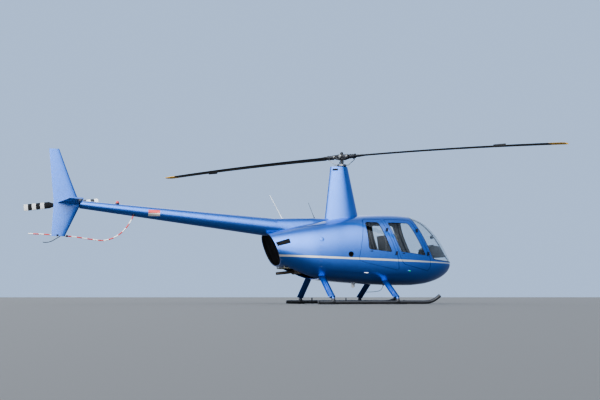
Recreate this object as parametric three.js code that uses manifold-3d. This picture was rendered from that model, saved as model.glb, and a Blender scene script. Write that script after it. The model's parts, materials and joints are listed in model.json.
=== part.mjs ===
// A four-seat light helicopter with two main blades, standing on its skids.
// Millimetres, +X towards the nose, +Y to the left, +Z up.
// Everything is drawn about the mast axis at ground level; the last lines move the origin
// to the middle of the footprint.

import * as THREE from 'three';
import { mergeVertices } from 'three/addons/utils/BufferGeometryUtils.js';
import Module from 'manifold-3d';

const wasm = await Module();
wasm.setup();

// Driving dimensions
const rotorRadius = 5030;
const rotorChord = 262;
const hubHeight = 3170;
const headTop = 3280;
const mastToTailRotor = 5893;
const tailRotorRadius = 737;
const tailRotorChord = 130;
const tailRotorHeight = 1990;
const tailRotorSide = 250;
const skidTrack = 2180;
const skidRadius = 36;
const shoeHeight = 8;
const wall = 28;
const touchGap = 0.3;
const panelGap = 0.5;
const doorGap = 6;
const mainBladeAngle = -52;
const tailBladeAngle = 8;

// Paint and other finishes
const paint = { color: 0x1f4fa8, roughness: 0.3, metalness: 0.5 };
const glass = { color: 0x9fb0b8, roughness: 0.05, metalness: 0, opacity: 0.35, transparent: true };
const black = { color: 0x101114, roughness: 0.6, metalness: 0 };
const darkMetal = { color: 0x2b2c30, roughness: 0.5, metalness: 0.4 };
const bareMetal = { color: 0x9a9da2, roughness: 0.35, metalness: 0.9 };
const trim = { color: 0x77756f, roughness: 0.9, metalness: 0 };
const leather = { color: 0x5c5a57, roughness: 0.7, metalness: 0 };
const redWhite = { color: 0xc23a3a, roughness: 0.4, metalness: 0 };
const redLens = { color: 0x8f1f2c, roughness: 0.2, metalness: 0 };
const whitePaint = { color: 0xe8e8e4, roughness: 0.4, metalness: 0 };

const model = new THREE.Group();

// Solids: manifold-3d joins and cuts, and three.js makes every shape

function toSolid(geometry) {
  const bare = new THREE.BufferGeometry();
  bare.setAttribute('position', geometry.getAttribute('position').clone());
  if (geometry.index) bare.setIndex(geometry.index.clone());
  const merged = mergeVertices(bare, 1e-3);
  const mesh = new wasm.Mesh({
    numProp: 3,
    vertProperties: new Float32Array(merged.getAttribute('position').array),
    triVerts: new Uint32Array(merged.index.array),
  });
  return new wasm.Manifold(mesh);
}

function toGeometry(solid) {
  const { numProp, vertProperties, triVerts } = solid.getMesh();
  const count = vertProperties.length / numProp;
  const positions = new Float32Array(count * 3);
  for (let i = 0; i < count; i += 1) {
    positions.set(vertProperties.subarray(i * numProp, i * numProp + 3), i * 3);
  }
  const geometry = new THREE.BufferGeometry();
  geometry.setAttribute('position', new THREE.BufferAttribute(positions, 3));
  geometry.setIndex(new THREE.BufferAttribute(new Uint32Array(triVerts), 1));
  geometry.computeVertexNormals();
  return geometry;
}

function mirroredToLeft(solid) {
  const geometry = toGeometry(solid);
  geometry.scale(1, -1, 1);
  const turned = geometry.index.array;
  for (let i = 0; i < turned.length; i += 3) {
    [turned[i + 1], turned[i + 2]] = [turned[i + 2], turned[i + 1]];
  }
  return toSolid(geometry);
}

function add(name, solid, finish, group = model) {
  const mesh = new THREE.Mesh(
    toGeometry(solid.asOriginal().simplify(0.06)), new THREE.MeshStandardMaterial(finish));
  mesh.name = name;
  group.add(mesh);
}

function addPair(name, rightSolid, finish) {
  add(`right_${name}`, rightSolid, finish);
  add(`left_${name}`, mirroredToLeft(rightSolid), finish);
}

function box(x0, x1, y0, y1, z0, z1) {
  const geometry = new THREE.BoxGeometry(x1 - x0, y1 - y0, z1 - z0);
  geometry.translate((x0 + x1) / 2, (y0 + y1) / 2, (z0 + z1) / 2);
  return toSolid(geometry);
}

// The largest piece of a solid that a cut has left in several.
function largest(solid) {
  return solid.decompose().sort((a, b) => b.volume() - a.volume())[0];
}

// A closed solid through rings of points, with a fan over each end; its faces are split
// alike on both sides, so that a mirrored half fits.
function loft(rings) {
  const around = rings[0].length;
  const points = [];
  const faces = [];
  for (const ring of rings) {
    for (const p of ring) points.push(p.x, p.y, p.z);
  }
  for (let k = 0; k + 1 < rings.length; k += 1) {
    for (let i = 0; i < around; i += 1) {
      const a = k * around + i;
      const b = k * around + ((i + 1) % around);
      const onLeft = rings[k][i].y + rings[k][(i + 1) % around].y > 0;
      if (onLeft) faces.push(a, b, a + around, b, b + around, a + around);
      else faces.push(a, b, b + around, a, b + around, a + around);
    }
  }
  for (const [k, flip] of [[0, true], [rings.length - 1, false]]) {
    const middle = new THREE.Vector3();
    for (const p of rings[k]) middle.addScaledVector(p, 1 / around);
    const m = points.length / 3;
    points.push(middle.x, middle.y, middle.z);
    for (let i = 0; i < around; i += 1) {
      const a = k * around + i;
      const b = k * around + ((i + 1) % around);
      if (flip) faces.push(m, b, a);
      else faces.push(m, a, b);
    }
  }
  const geometry = new THREE.BufferGeometry();
  geometry.setAttribute('position', new THREE.Float32BufferAttribute(points, 3));
  geometry.setIndex(faces);
  const solid = toSolid(geometry);
  if (solid.volume() > 0) return solid;
  for (let i = 0; i < faces.length; i += 3) {
    [faces[i + 1], faces[i + 2]] = [faces[i + 2], faces[i + 1]];
  }
  geometry.setIndex(faces);
  return toSolid(geometry);
}

// A cylinder or cone between two points.
function rod(from, to, radius, sides = 16, endRadius = radius) {
  const a = new THREE.Vector3(...from);
  const b = new THREE.Vector3(...to);
  const geometry = new THREE.CylinderGeometry(endRadius, radius, a.distanceTo(b), sides);
  const direction = b.clone().sub(a).normalize();
  geometry.applyQuaternion(
    new THREE.Quaternion().setFromUnitVectors(new THREE.Vector3(0, 1, 0), direction));
  geometry.translate((a.x + b.x) / 2, (a.y + b.y) / 2, (a.z + b.z) / 2);
  return toSolid(geometry);
}

// A round tube along a smooth line through a few points.
function tube(points, radius, sides, steps) {
  const curve = new THREE.CatmullRomCurve3(points.map((p) => new THREE.Vector3(...p)));
  const section = new THREE.Shape();
  for (let i = 0; i < sides; i += 1) {
    const t = ((i + 0.5) / sides) * Math.PI * 2;
    if (i === 0) section.moveTo(radius * Math.cos(t), radius * Math.sin(t));
    else section.lineTo(radius * Math.cos(t), radius * Math.sin(t));
  }
  section.closePath();
  return toSolid(new THREE.ExtrudeGeometry(section, { steps, extrudePath: curve }));
}

// Side-view outlines: rows of x, z and the radius of the corner there

function offsetOutline(outline, distance) {
  const n = outline.length;
  let area = 0;
  for (let i = 0; i < n; i += 1) {
    const [x0, z0] = outline[i];
    const [x1, z1] = outline[(i + 1) % n];
    area += x0 * z1 - x1 * z0;
  }
  const side = Math.sign(area) * distance;
  const lines = outline.map(([x0, z0], i) => {
    const [x1, z1] = outline[(i + 1) % n];
    const length = Math.hypot(x1 - x0, z1 - z0);
    const nx = (z1 - z0) / length;
    const nz = -(x1 - x0) / length;
    return { nx, nz, c: nx * x0 + nz * z0 + side };
  });
  return outline.map(([, , radius = 0], i) => {
    const p = lines[(i + n - 1) % n];
    const q = lines[i];
    const det = p.nx * q.nz - p.nz * q.nx;
    const x = (p.c * q.nz - p.nz * q.c) / det;
    const z = (p.nx * q.c - p.c * q.nx) / det;
    return [x, z, radius > 0 ? Math.max(1, radius + distance) : 0];
  });
}

function outlineShape(outline) {
  const n = outline.length;
  const shape = new THREE.Shape();
  outline.forEach(([x, z, radius = 0], i) => {
    const corner = new THREE.Vector2(x, z);
    const before = new THREE.Vector2(...outline[(i + n - 1) % n].slice(0, 2)).sub(corner);
    const after = new THREE.Vector2(...outline[(i + 1) % n].slice(0, 2)).sub(corner);
    const reach = Math.min(radius, 0.45 * before.length(), 0.45 * after.length());
    const start = corner.clone().addScaledVector(before.normalize(), reach);
    const end = corner.clone().addScaledVector(after.normalize(), reach);
    if (i === 0) shape.moveTo(start.x, start.y);
    else shape.lineTo(start.x, start.y);
    if (radius > 0) shape.quadraticCurveTo(corner.x, corner.y, end.x, end.y);
  });
  shape.closePath();
  return shape;
}

// The outline pushed through the side of the body, from y0 to y1.
function prism(outline, y0, y1, curveSegments = 4) {
  const geometry = new THREE.ExtrudeGeometry(outlineShape(outline), {
    depth: y1 - y0,
    bevelEnabled: false,
    curveSegments,
  });
  geometry.rotateX(Math.PI / 2);
  geometry.translate(0, y1, 0);
  return toSolid(geometry);
}

// Body of the fuselage

// Columns: x, bottom z, top z, half width, z of the widest line, upper and lower squareness
const bodySections = [
  [-1950, 905, 1440, 400, 1180, 2.3, 2.3],
  [-1500, 800, 1545, 500, 1130, 2.4, 2.4],
  [-1100, 655, 1640, 575, 1060, 2.4, 2.6],
  [-700, 520, 1720, 625, 1010, 2.4, 2.8],
  [-200, 470, 1815, 640, 980, 2.4, 3.0],
  [400, 430, 1905, 640, 960, 2.5, 3.0],
  [1000, 405, 1930, 632, 940, 2.5, 3.0],
  [1450, 402, 1905, 600, 920, 2.5, 2.8],
  [1800, 430, 1800, 540, 905, 2.4, 2.6],
  [2080, 495, 1580, 450, 895, 2.3, 2.4],
  [2300, 590, 1290, 335, 890, 2.2, 2.2],
  [2440, 700, 1060, 215, 885, 2.1, 2.1],
  [2505, 805, 950, 100, 885, 2.0, 2.0],
  [2520, 872, 898, 18, 885, 2.0, 2.0],
];
const bodySteps = 22;
const bodyAround = 24;
const insetCentre = new THREE.Vector3(550, 0, 1120);
const insetReach = new THREE.Vector3(1975, 640, 760);

// Monotone cubic through one column of a table, at a fractional row.
function columnAt(table, column, row) {
  const last = table.length - 1;
  const k = Math.min(last - 1, Math.floor(row));
  const t = row - k;
  const value = (i) => table[i][column];
  const slope = (i) => {
    if (i === 0) return value(1) - value(0);
    if (i === last) return value(last) - value(last - 1);
    const a = value(i) - value(i - 1);
    const b = value(i + 1) - value(i);
    return a * b <= 0 ? 0 : (2 * a * b) / (a + b);
  };
  const h00 = (1 + 2 * t) * (1 - t) ** 2;
  const h10 = t * (1 - t) ** 2;
  const h01 = t * t * (3 - 2 * t);
  const h11 = t * t * (t - 1);
  return h00 * value(k) + h10 * slope(k) + h01 * value(k + 1) + h11 * slope(k + 1);
}

function bodyRow(row) {
  const [x, bottom, top, half, wide, upper, lower] = [0, 1, 2, 3, 4, 5, 6].map(
    (column) => columnAt(bodySections, column, row));
  return { x, bottom, top, half, wide, upper, lower };
}

function bodyRing(row, inset) {
  const s = bodyRow(row);
  const ring = [];
  for (let i = 0; i < bodyAround; i += 1) {
    const t = (i / bodyAround) * Math.PI * 2;
    const c = Math.cos(t);
    const d = Math.sin(t);
    const power = 2 / (d > 0 ? s.upper : s.lower);
    const rise = d > 0 ? s.top - s.wide : s.wide - s.bottom;
    const p = new THREE.Vector3(
      s.x,
      s.half * Math.sign(c) * Math.abs(c) ** power,
      s.wide + rise * Math.sign(d) * Math.abs(d) ** power);
    p.sub(insetCentre);
    p.x *= 1 - inset / insetReach.x;
    p.y *= 1 - inset / insetReach.y;
    p.z *= 1 - inset / insetReach.z;
    ring.push(p.add(insetCentre));
  }
  return ring;
}

// The whole body as one solid, pulled in by a distance from its skin.
function bodySolid(inset) {
  const rings = [];
  for (let i = 0; i <= bodySteps; i += 1) {
    rings.push(bodyRing((i / bodySteps) * (bodySections.length - 1), inset));
  }
  return loft(rings);
}

// Half width of the outer skin at a place in side view.
function skinHalfWidth(x, z) {
  let low = 0;
  let high = bodySections.length - 1;
  for (let i = 0; i < 40; i += 1) {
    const middle = (low + high) / 2;
    if (bodyRow(middle).x < x) low = middle;
    else high = middle;
  }
  const s = bodyRow(low);
  const power = z > s.wide ? s.upper : s.lower;
  const share = z > s.wide ? (z - s.wide) / (s.top - s.wide) : (s.wide - z) / (s.wide - s.bottom);
  return s.half * Math.max(0, 1 - share ** power) ** (1 / power);
}

const skin = bodySolid(0);
const skinSpace = bodySolid(-touchGap);
const shell = skin.subtract(bodySolid(wall));
const insideWall = bodySolid(wall + touchGap);
const far = 3000;

// Doors, windows and windshield in side view: x, z, corner radius
const frontDoor = [
  [1418, 1800, 60], [1832, 962, 40], [1826, 800, 40], [1760, 745, 40],
  [1128, 745, 50], [1110, 965, 30], [802, 1800, 40],
];
const frontWindow = [[1362, 1735, 70], [1716, 1035, 50], [1105, 1105, 40], [862, 1735, 50]];
const rearDoor = [
  [730, 1800, 40], [1040, 965, 30], [1058, 745, 50], [250, 745, 90], [137, 860, 60], [325, 1800, 60],
];
const rearWindow = [[655, 1735, 50], [905, 1095, 50], [405, 1150, 60], [352, 1735, 60]];
const windshieldOutline = [
  [1440, 2100, 0], [1470, 1850, 0], [1897, 975, 20], [1960, 948, 0], [2700, 882, 0], [2700, 2100, 0],
];
const waist = 975;
const doorTop = 1800 + doorGap;

// The cabin ends, and the engine bay begins, along the rear door's slanted rear edge.
const seamAt = (z) => rearDoor[4][0]
  + ((z - rearDoor[4][1]) * (rearDoor[5][0] - rearDoor[4][0])) / (rearDoor[5][1] - rearDoor[4][1]);
const aheadOfSeam = (gap) => prism(
  [[seamAt(0) + gap, 0], [4000, 0], [4000, 3000], [seamAt(3000) + gap, 3000]], -900, 900);
const behindSeam = (gap) => prism(
  [[seamAt(0) - gap, 0], [seamAt(3000) - gap, 3000], [-4000, 3000], [-4000, 0]], -900, 900);

function bothSides(outline) {
  return prism(outline, -900, -20).add(prism(outline, 20, 900));
}

const doorOpenings = bothSides(offsetOutline(frontDoor, doorGap))
  .add(bothSides(offsetOutline(rearDoor, doorGap)));
const windshieldHole = prism(windshieldOutline, -900, 900);
const cabinFrame = shell
  .intersect(aheadOfSeam(-doorGap))
  .subtract(doorOpenings)
  .subtract(windshieldHole);

// Landing gear

const skidCentre = shoeHeight + skidRadius * Math.cos(Math.PI / 10);
const skidSide = skidTrack / 2;
// Columns: x, how far the faired leg reaches up before it goes inside
const crossTubes = { front: { x: 820, height: 520 }, rear: { x: -590, height: 585 } };
const crossTubeRadius = 30;
const legRoot = 470;
const fairingChord = 145;
const fairingThickness = 64;
const legBuried = 90;

function crossTubeLine(x, height) {
  const low = skidCentre + skidRadius + touchGap;
  return [
    [x, -skidSide, low], [x, -skidSide, low + 26], [x, -skidSide + 40, low + 70],
    [x, -legRoot, height - 40],
    [x, -legRoot + 110, height], [x, 0, height],
    [x, legRoot - 110, height], [x, legRoot, height - 40],
    [x, skidSide - 40, low + 70], [x, skidSide, low + 26],
    [x, skidSide, low],
  ];
}

// Ring of a symmetric wing section; along and thick are unit vectors, nose first.
function wingRing(nose, along, thick, chord, thickness) {
  const stations = [0, 0.05, 0.2, 0.45, 0.75, 1];
  const half = (c) => 5 * (thickness / chord)
    * (0.2969 * Math.sqrt(c) - 0.126 * c - 0.3516 * c ** 2 + 0.2843 * c ** 3 - 0.1036 * c ** 4);
  const upper = stations.map((c) => [c, c === 0 ? 0 : half(c) + 0.004]);
  const lower = stations.slice(1).reverse().map((c) => [c, -(half(c) + 0.004)]);
  return [...upper, ...lower].map(([c, h]) => nose.clone()
    .addScaledVector(along, c * chord)
    .addScaledVector(thick, h * chord));
}

function fairedLeg(x, height) {
  const [foot, knee] = crossTubeLine(x, height).slice(2, 4).map((p) => new THREE.Vector3(...p));
  const up = knee.clone().sub(foot).normalize();
  const back = new THREE.Vector3(-1, 0, 0);
  const across = new THREE.Vector3().crossVectors(up, back);
  const start = new THREE.Vector3(fairingChord * 0.38, 0, 0);
  return loft([foot, knee.clone().addScaledVector(up, legBuried)].map((p) => wingRing(
    p.clone().add(start), back, across, fairingChord, fairingThickness)));
}

const crossTubeHoles = [];
const crossTubeSides = 8;
const crossTubeSteps = 16;
for (const [place, { x, height }] of Object.entries(crossTubes)) {
  const line = crossTubeLine(x, height);
  crossTubeHoles.push(tube(line, crossTubeRadius + touchGap + 0.1, crossTubeSides, crossTubeSteps));
  const leg = fairedLeg(x, height).subtract(skinSpace);
  const gear = tube(line, crossTubeRadius, crossTubeSides, crossTubeSteps)
    .add(leg).add(mirroredToLeft(leg));
  add(`${place}_cross_tube`, gear, paint);
}
const gearHoles = crossTubeHoles[0].add(crossTubeHoles[1]);

const skidRear = -915;
const skidBend = 1440;
const skidTip = [1775, 178];
const shoeSpans = [[-860, -480], [560, 1020]];
const spindleX = -320;

function skidSolid() {
  const y = -skidSide;
  const z = skidCentre;
  const line = [
    [skidRear, y, z], [0, y, z], [skidBend - 260, y, z], [skidBend, y, z],
    [1560, y, z + 14], [1680, y, z + 66], [skidTip[0], y, skidTip[1]],
  ];
  let solid = tube(line, skidRadius, 10, 14);
  for (const [x0, x1] of shoeSpans) {
    solid = solid.add(box(x0, x1, y - 26, y + 26, 0, z));
  }
  for (const { x } of Object.values(crossTubes)) {
    solid = solid.add(box(x - 55, x + 55, y - 40, y + 40, z - 10, z + skidRadius));
  }
  solid = solid.add(rod([spindleX, y, z], [spindleX, y, z + 96], 14, 12));
  return solid;
}
addPair('skid', skidSolid(), darkMetal);

// Tail boom, drawn as a cone along its own slope

const boomAxis = { x: -1720, z: 1620, slope: 0.0945 };
const boomFront = -520;
const boomRear = -5560;
const boomWall = 9;
const boomRadiusAt = (x) => 192 - (boomAxis.x - x) * 0.0296;
const boomHeightAt = (x) => boomAxis.z + (boomAxis.x - x) * boomAxis.slope;

function boomCone(growth, sides = 20) {
  const end = (x) => [x, 0, boomHeightAt(x)];
  return rod(end(boomFront), end(boomRear), boomRadiusAt(boomFront) + growth, sides,
    boomRadiusAt(boomRear) + growth);
}

const boomSpace = boomCone(touchGap + 0.3)
  .add(rod([boomRear + 20, 0, boomHeightAt(boomRear + 20)], [boomRear - 1, 0, boomHeightAt(boomRear - 1)],
    boomRadiusAt(boomRear) + 1, 20));
const boomInside = rod([boomFront + 200, 0, boomHeightAt(boomFront + 200)],
  [boomRear - 200, 0, boomHeightAt(boomRear - 200)],
  boomRadiusAt(boomFront + 200) - boomWall, 20, boomRadiusAt(boomRear - 200) - boomWall);
add('tail_boom', boomCone(0).subtract(boomInside), paint);

// Cabin

const tub = cabinFrame.intersect(box(0, far, -far, far, 0, waist)).subtract(gearHoles);
add('cabin_tub', tub, paint);
add('cabin_roof', cabinFrame.intersect(box(0, far, -far, far, doorTop, far)), paint);

const postZone = { bottom: waist + panelGap, top: doorTop - panelGap };
const hinge = { radius: 9, length: 34, gap: 0.4, leaf: 30, bury: 30 };

// A door turns about the straight line through its two hinges, just proud of the skin.
function hingeLine(edge, heights) {
  const [[xa, za], [xb, zb]] = edge;
  const lean = (xb - xa) / (zb - za);
  const xAt = (z) => xa + lean * (z - za) + doorGap / 2;
  const [upper, lower] = heights;
  const skinAt = (z) => skinHalfWidth(xAt(z), z);
  const chord = (z) => skinAt(lower)
    + ((skinAt(upper) - skinAt(lower)) * (z - lower)) / (upper - lower);
  let bulge = 0;
  for (let z = lower; z <= upper; z += 10) bulge = Math.max(bulge, skinAt(z) - chord(z));
  const proud = bulge + 4;
  const point = (z) => new THREE.Vector3(xAt(z), -(chord(z) + proud), z);
  return { upper: point(upper), lower: point(lower), proud };
}

const doorHinges = {
  front: hingeLine([frontDoor[0], frontDoor[1]], [1560, 1060]),
  rear: hingeLine([rearDoor[0], rearDoor[1]], [1560, 1060]),
};

// One knuckle on the hinge line with its leaf: side +1 lies on the post ahead, -1 on the door.
function knuckle(line, centre, side) {
  const up = line.upper.clone().sub(line.lower).normalize();
  const half = up.clone().multiplyScalar(hinge.length / 2);
  const start = centre.clone().sub(half);
  const end = centre.clone().add(half);
  const pin = rod(start.toArray(), end.toArray(), hinge.radius, 8);
  const ahead = new THREE.Vector3(1, 0, 0).addScaledVector(up, -up.x).normalize();
  const inward = new THREE.Vector3().crossVectors(ahead, up).normalize();
  if (inward.y < 0) inward.negate();
  const leaf = new THREE.BoxGeometry(hinge.leaf, hinge.length, line.proud + hinge.bury);
  const turn = new THREE.Matrix4().makeBasis(
    ahead, up, new THREE.Vector3().crossVectors(ahead, up));
  leaf.applyMatrix4(turn);
  const shift = centre.clone()
    .addScaledVector(ahead, (side * hinge.leaf) / 2)
    .addScaledVector(inward, (line.proud + hinge.bury) / 2 - 3);
  leaf.translate(shift.x, shift.y, shift.z);
  return pin.add(toSolid(leaf));
}

function hingeKnuckles(line, side) {
  const up = line.upper.clone().sub(line.lower).normalize();
  const offset = side > 0 ? hinge.length + hinge.gap : 0;
  return [line.upper, line.lower]
    .map((p) => knuckle(line, p.clone().addScaledVector(up, offset), side))
    .reduce((a, b) => a.add(b));
}

const bareDoors = {
  front: shell.intersect(prism(frontDoor, -900, -20)),
  rear: shell.intersect(prism(rearDoor, -900, -20)),
};
const bareCentrePost = cabinFrame
  .intersect(box(700, 1150, -far, 0, postZone.bottom, postZone.top));
const bareWindshieldPost = cabinFrame
  .intersect(box(1250, 2000, -far, -150, postZone.bottom, postZone.top));

function hingedPost(bare, line, cutter) {
  const knuckles = hingeKnuckles(line, 1).subtract(insideWall).subtract(cutter);
  return bare.add(knuckles);
}

addPair('centre_post', hingedPost(bareCentrePost, doorHinges.rear,
  prism(offsetOutline(frontDoor, doorGap), -900, -20)
    .add(prism(offsetOutline(rearDoor, doorGap / 2), -900, -20))), paint);
addPair('windshield_post', hingedPost(bareWindshieldPost, doorHinges.front,
  prism(offsetOutline(windshieldOutline, panelGap), -900, 900)
    .add(prism(offsetOutline(frontDoor, doorGap / 2), -900, -20))), paint);

const doorWindows = { front: frontWindow, rear: rearWindow };
const handlePlaces = { front: [1178, 1072], rear: [440, 1112] };

function doorHandle([x, z]) {
  const y = -skinHalfWidth(x, z);
  return box(x - 28, x + 28, y - 14, y - 8, z - 9, z + 9)
    .add(box(x - 28, x - 14, y - 10, y + 6, z - 9, z + 9));
}

for (const place of ['front', 'rear']) {
  const hole = prism(doorWindows[place], -900, -20);
  const knuckles = hingeKnuckles(doorHinges[place], -1).subtract(insideWall);
  const door = bareDoors[place].subtract(hole).add(knuckles).add(doorHandle(handlePlaces[place]));
  addPair(`${place}_door`, door, paint);
  const pane = bodySolid(8).subtract(bodySolid(13))
    .intersect(prism(offsetOutline(doorWindows[place], -0.4), -900, -20));
  addPair(`${place}_door_window`, pane, glass);
}

const stripHalf = 12;
const windshieldPane = bodySolid(6).subtract(bodySolid(11))
  .intersect(prism(offsetOutline(windshieldOutline, -0.4), -900, -stripHalf - touchGap));
addPair('windshield', windshieldPane, glass);
const strip = skin.subtract(bodySolid(16))
  .intersect(prism(offsetOutline(windshieldOutline, -0.4), -stripHalf, stripHalf));
add('windshield_centre_strip', strip, black);

// Inside of the cabin

const floorTop = 620;
const bulkheadFront = 60;
const bulkheadThickness = 20;
const bulkhead = insideWall.intersect(
  box(bulkheadFront - bulkheadThickness, bulkheadFront, -far, far, 0, far));
add('cabin_bulkhead', bulkhead.subtract(gearHoles), trim);
const floor = insideWall
  .intersect(box(bulkheadFront + touchGap, 2260, -far, far, floorTop - 20, floorTop))
  .subtract(gearHoles);
add('cabin_floor', floor, trim);

const onFloor = floorTop + touchGap;
const frontSeat = [
  [1590, onFloor], [1600, 840, 30], [1575, 885, 30], [1180, 850, 30], [1075, 1500, 40], [1000, 1500, 30],
  [1095, 820], [1095, onFloor],
];
const rearSeat = [
  [690, onFloor], [700, 830, 30], [675, 870, 30], [265, 840, 30], [185, 1470, 40],
  [bulkheadFront + touchGap, 1480, 10], [bulkheadFront + touchGap, onFloor],
];
const seatSpan = [-505, -50];
const seatSpace = bodySolid(wall + 12);
addPair('front_seat', prism(frontSeat, ...seatSpan).intersect(seatSpace), leather);
addPair('rear_seat', prism(rearSeat, ...seatSpan).intersect(seatSpace), leather);

const consoleLower = [[2090, onFloor], [2060, 1010], [1890, 1010], [1880, onFloor]];
const consoleUpper = [
  [2355, 1020, 20], [2200, 1255, 40], [2040, 1275, 30], [1905, 1180, 20], [1850, 1000, 20],
];
const console_ = prism(consoleLower, -125, 125).add(prism(consoleUpper, -215, 215));
add('instrument_console', console_.intersect(seatSpace), black);

const stickFoot = 1720;
const stick = rod([stickFoot, 0, onFloor], [stickFoot, 0, onFloor + 12], 40, 10)
  .add(tube([[stickFoot, 0, onFloor + 6], [stickFoot - 15, 0, 800], [stickFoot - 60, 0, 1010]], 16, 6, 5))
  .add(rod([stickFoot - 60, -330, 1010], [stickFoot - 60, 330, 1010], 14, 8))
  .add(rod([stickFoot - 60, -318, 1130], [stickFoot - 60, -318, 930], 17, 8))
  .add(rod([stickFoot - 60, 318, 1130], [stickFoot - 60, 318, 930], 17, 8));
add('cyclic_stick', stick, black);

// Mast, its fairing and the top of the fuselage

const mastRadius = 40;
const mastTop = 3000;
const bearingRadius = 27.7;
const shaftRadius = 27.2;
const mastSides = 24;
const mast = rod([0, 0, 1560], [0, 0, mastTop], mastRadius, mastSides)
  .subtract(rod([0, 0, mastTop - 130], [0, 0, mastTop + 10], bearingRadius, mastSides));
add('mast_tube', mast, darkMetal);
const mastHole = rod([0, 0, 1400], [0, 0, 2200], mastRadius + touchGap, mastSides);

// Columns: z, rear x, front x, half width
const fairingBottom = [1600, -420, 420, 158];
const fairingTop = [2945, -262, 128, 104];

function fairingRing([z, rear, front, half], inset) {
  const ring = [];
  const count = 20;
  const tailInset = 3 * inset;
  for (let i = 0; i < count; i += 1) {
    const t = (i / count) * Math.PI * 2;
    const share = (1 - Math.cos(t)) / 2;
    ring.push(new THREE.Vector3(
      front - inset - (front - rear - inset - tailInset) * share,
      (half - inset) * Math.sin(t) * (1.06 + 0.3 * Math.cos(t)),
      z));
  }
  return ring;
}

const mastFairingOuter = loft([fairingRing(fairingBottom, 0), fairingRing(fairingTop, 0)]);
const past = (row, dz, share) => [row[0] + dz, row[1] + share * 14, row[2] - share * 22, row[3] - share * 5];
const mastFairingInner = loft([
  fairingRing(past(fairingBottom, -100, -1), 12), fairingRing(past(fairingTop, 100, 1), 12)]);
add('mast_fairing', mastFairingOuter.subtract(mastFairingInner).subtract(skinSpace), paint);

// The saddle that carries the line of the boom forward to the mast fairing.
function saddleRing(x, top, half, bottom) {
  const ring = [];
  const count = 20;
  for (let i = 0; i <= count; i += 1) {
    const t = (i / count) * Math.PI;
    const c = Math.cos(t);
    ring.push(new THREE.Vector3(
      x, half * Math.sign(c) * Math.abs(c) ** 0.9, bottom + (top - bottom) * Math.sin(t) ** 0.9));
  }
  return ring;
}
// Columns: x, top z, half width, bottom z
const saddleSections = [
  [-330, 1822, 150, 1600], [-700, 1828, 205, 1560], [-1150, 1815, 222, 1500], [-1500, 1801, 199, 1610],
];
const mastFairingSpace = loft([fairingRing(fairingBottom, -touchGap), fairingRing(fairingTop, -touchGap)]);
const saddle = loft(saddleSections.map((row) => saddleRing(...row)))
  .subtract(skinSpace).subtract(boomSpace).subtract(mastFairingSpace);
add('boom_fairing', largest(saddle), paint);

// Engine bay

// The rear opening leans: its plane runs from low and ahead to high and behind.
const rearPlane = { x: -1400, z: 650, lean: Math.atan(0.4) };

function behindRearPlane(distance) {
  const geometry = new THREE.BoxGeometry(2000, 3000, 4000);
  geometry.translate(-1000 + distance, 0, 0);
  geometry.rotateY(-rearPlane.lean);
  geometry.translate(rearPlane.x, 0, rearPlane.z);
  return toSolid(geometry);
}

const topHalf = 390;
const topFloor = 1150;
const bellyHalf = 400;
const bellyCeiling = 900;
const bay = shell
  .intersect(behindSeam(doorGap + panelGap))
  .subtract(behindRearPlane(0));
const topZone = (gap) => box(-far, far, -topHalf + gap, topHalf - gap, topFloor, far);
const bellyZone = (gap) => box(-far, far, -bellyHalf + gap, bellyHalf - gap, 0, bellyCeiling);
const bellyOpening = prism(
  [[-620, 300, 0], [-620, 1100, 0], [-1330, 1100, 0], [-1330, 300, 0]], -290, 290);

add('upper_cowl', bay.intersect(topZone(panelGap)).subtract(boomSpace).subtract(mastHole), paint);
add('belly_cowl', bay.intersect(bellyZone(panelGap)).subtract(bellyOpening).subtract(gearHoles), paint);
const sideCowl = bay
  .subtract(topZone(0)).subtract(bellyZone(0)).subtract(gearHoles).subtract(boomSpace)
  .intersect(box(-far, far, -far, 0, 0, far));
addPair('side_cowl', sideCowl, paint);

const screen = insideWall
  .intersect(behindRearPlane(40).subtract(behindRearPlane(30)))
  .subtract(boomSpace);
add('aft_screen', screen, black);

const engine = { rear: -1180, front: -430, half: 330, bottom: 770, top: 1230 };
let powerplant = box(engine.rear, engine.front, -engine.half, engine.half, engine.bottom, engine.top);
const bulkheadRear = bulkheadFront - bulkheadThickness;
for (const y of [-240, 240]) {
  for (const z of [850, 1150]) {
    powerplant = powerplant.add(rod([engine.front - 20, y, z], [bulkheadRear - touchGap, y, z], 16, 10));
  }
}
add('engine_block', powerplant, darkMetal);

const muffler = rod([-1020, -250, 690], [-1020, 250, 690], 66, 14)
  .add(rod([-1020, 150, engine.bottom - touchGap], [-1020, 150, 690], 24, 8))
  .add(rod([-1020, -150, engine.bottom - touchGap], [-1020, -150, 690], 24, 8))
  .add(tube([[-1040, 120, 690], [-1150, 120, 672], [-1290, 120, 655], [-1440, 120, 640]], 30, 8, 6));
add('exhaust_muffler', muffler.subtract(bodySolid(-touchGap).subtract(bodySolid(wall + touchGap))
  .subtract(bellyOpening)), bareMetal);

// Main rotor, drawn along +X and turned to its parked angle

const rotorHead = new THREE.Group();
rotorHead.rotation.z = THREE.MathUtils.degToRad(mainBladeAngle);
model.add(rotorHead);

const hubReach = 200;
const hubHalfHeight = 46;
const plateTop = 2985;

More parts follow.
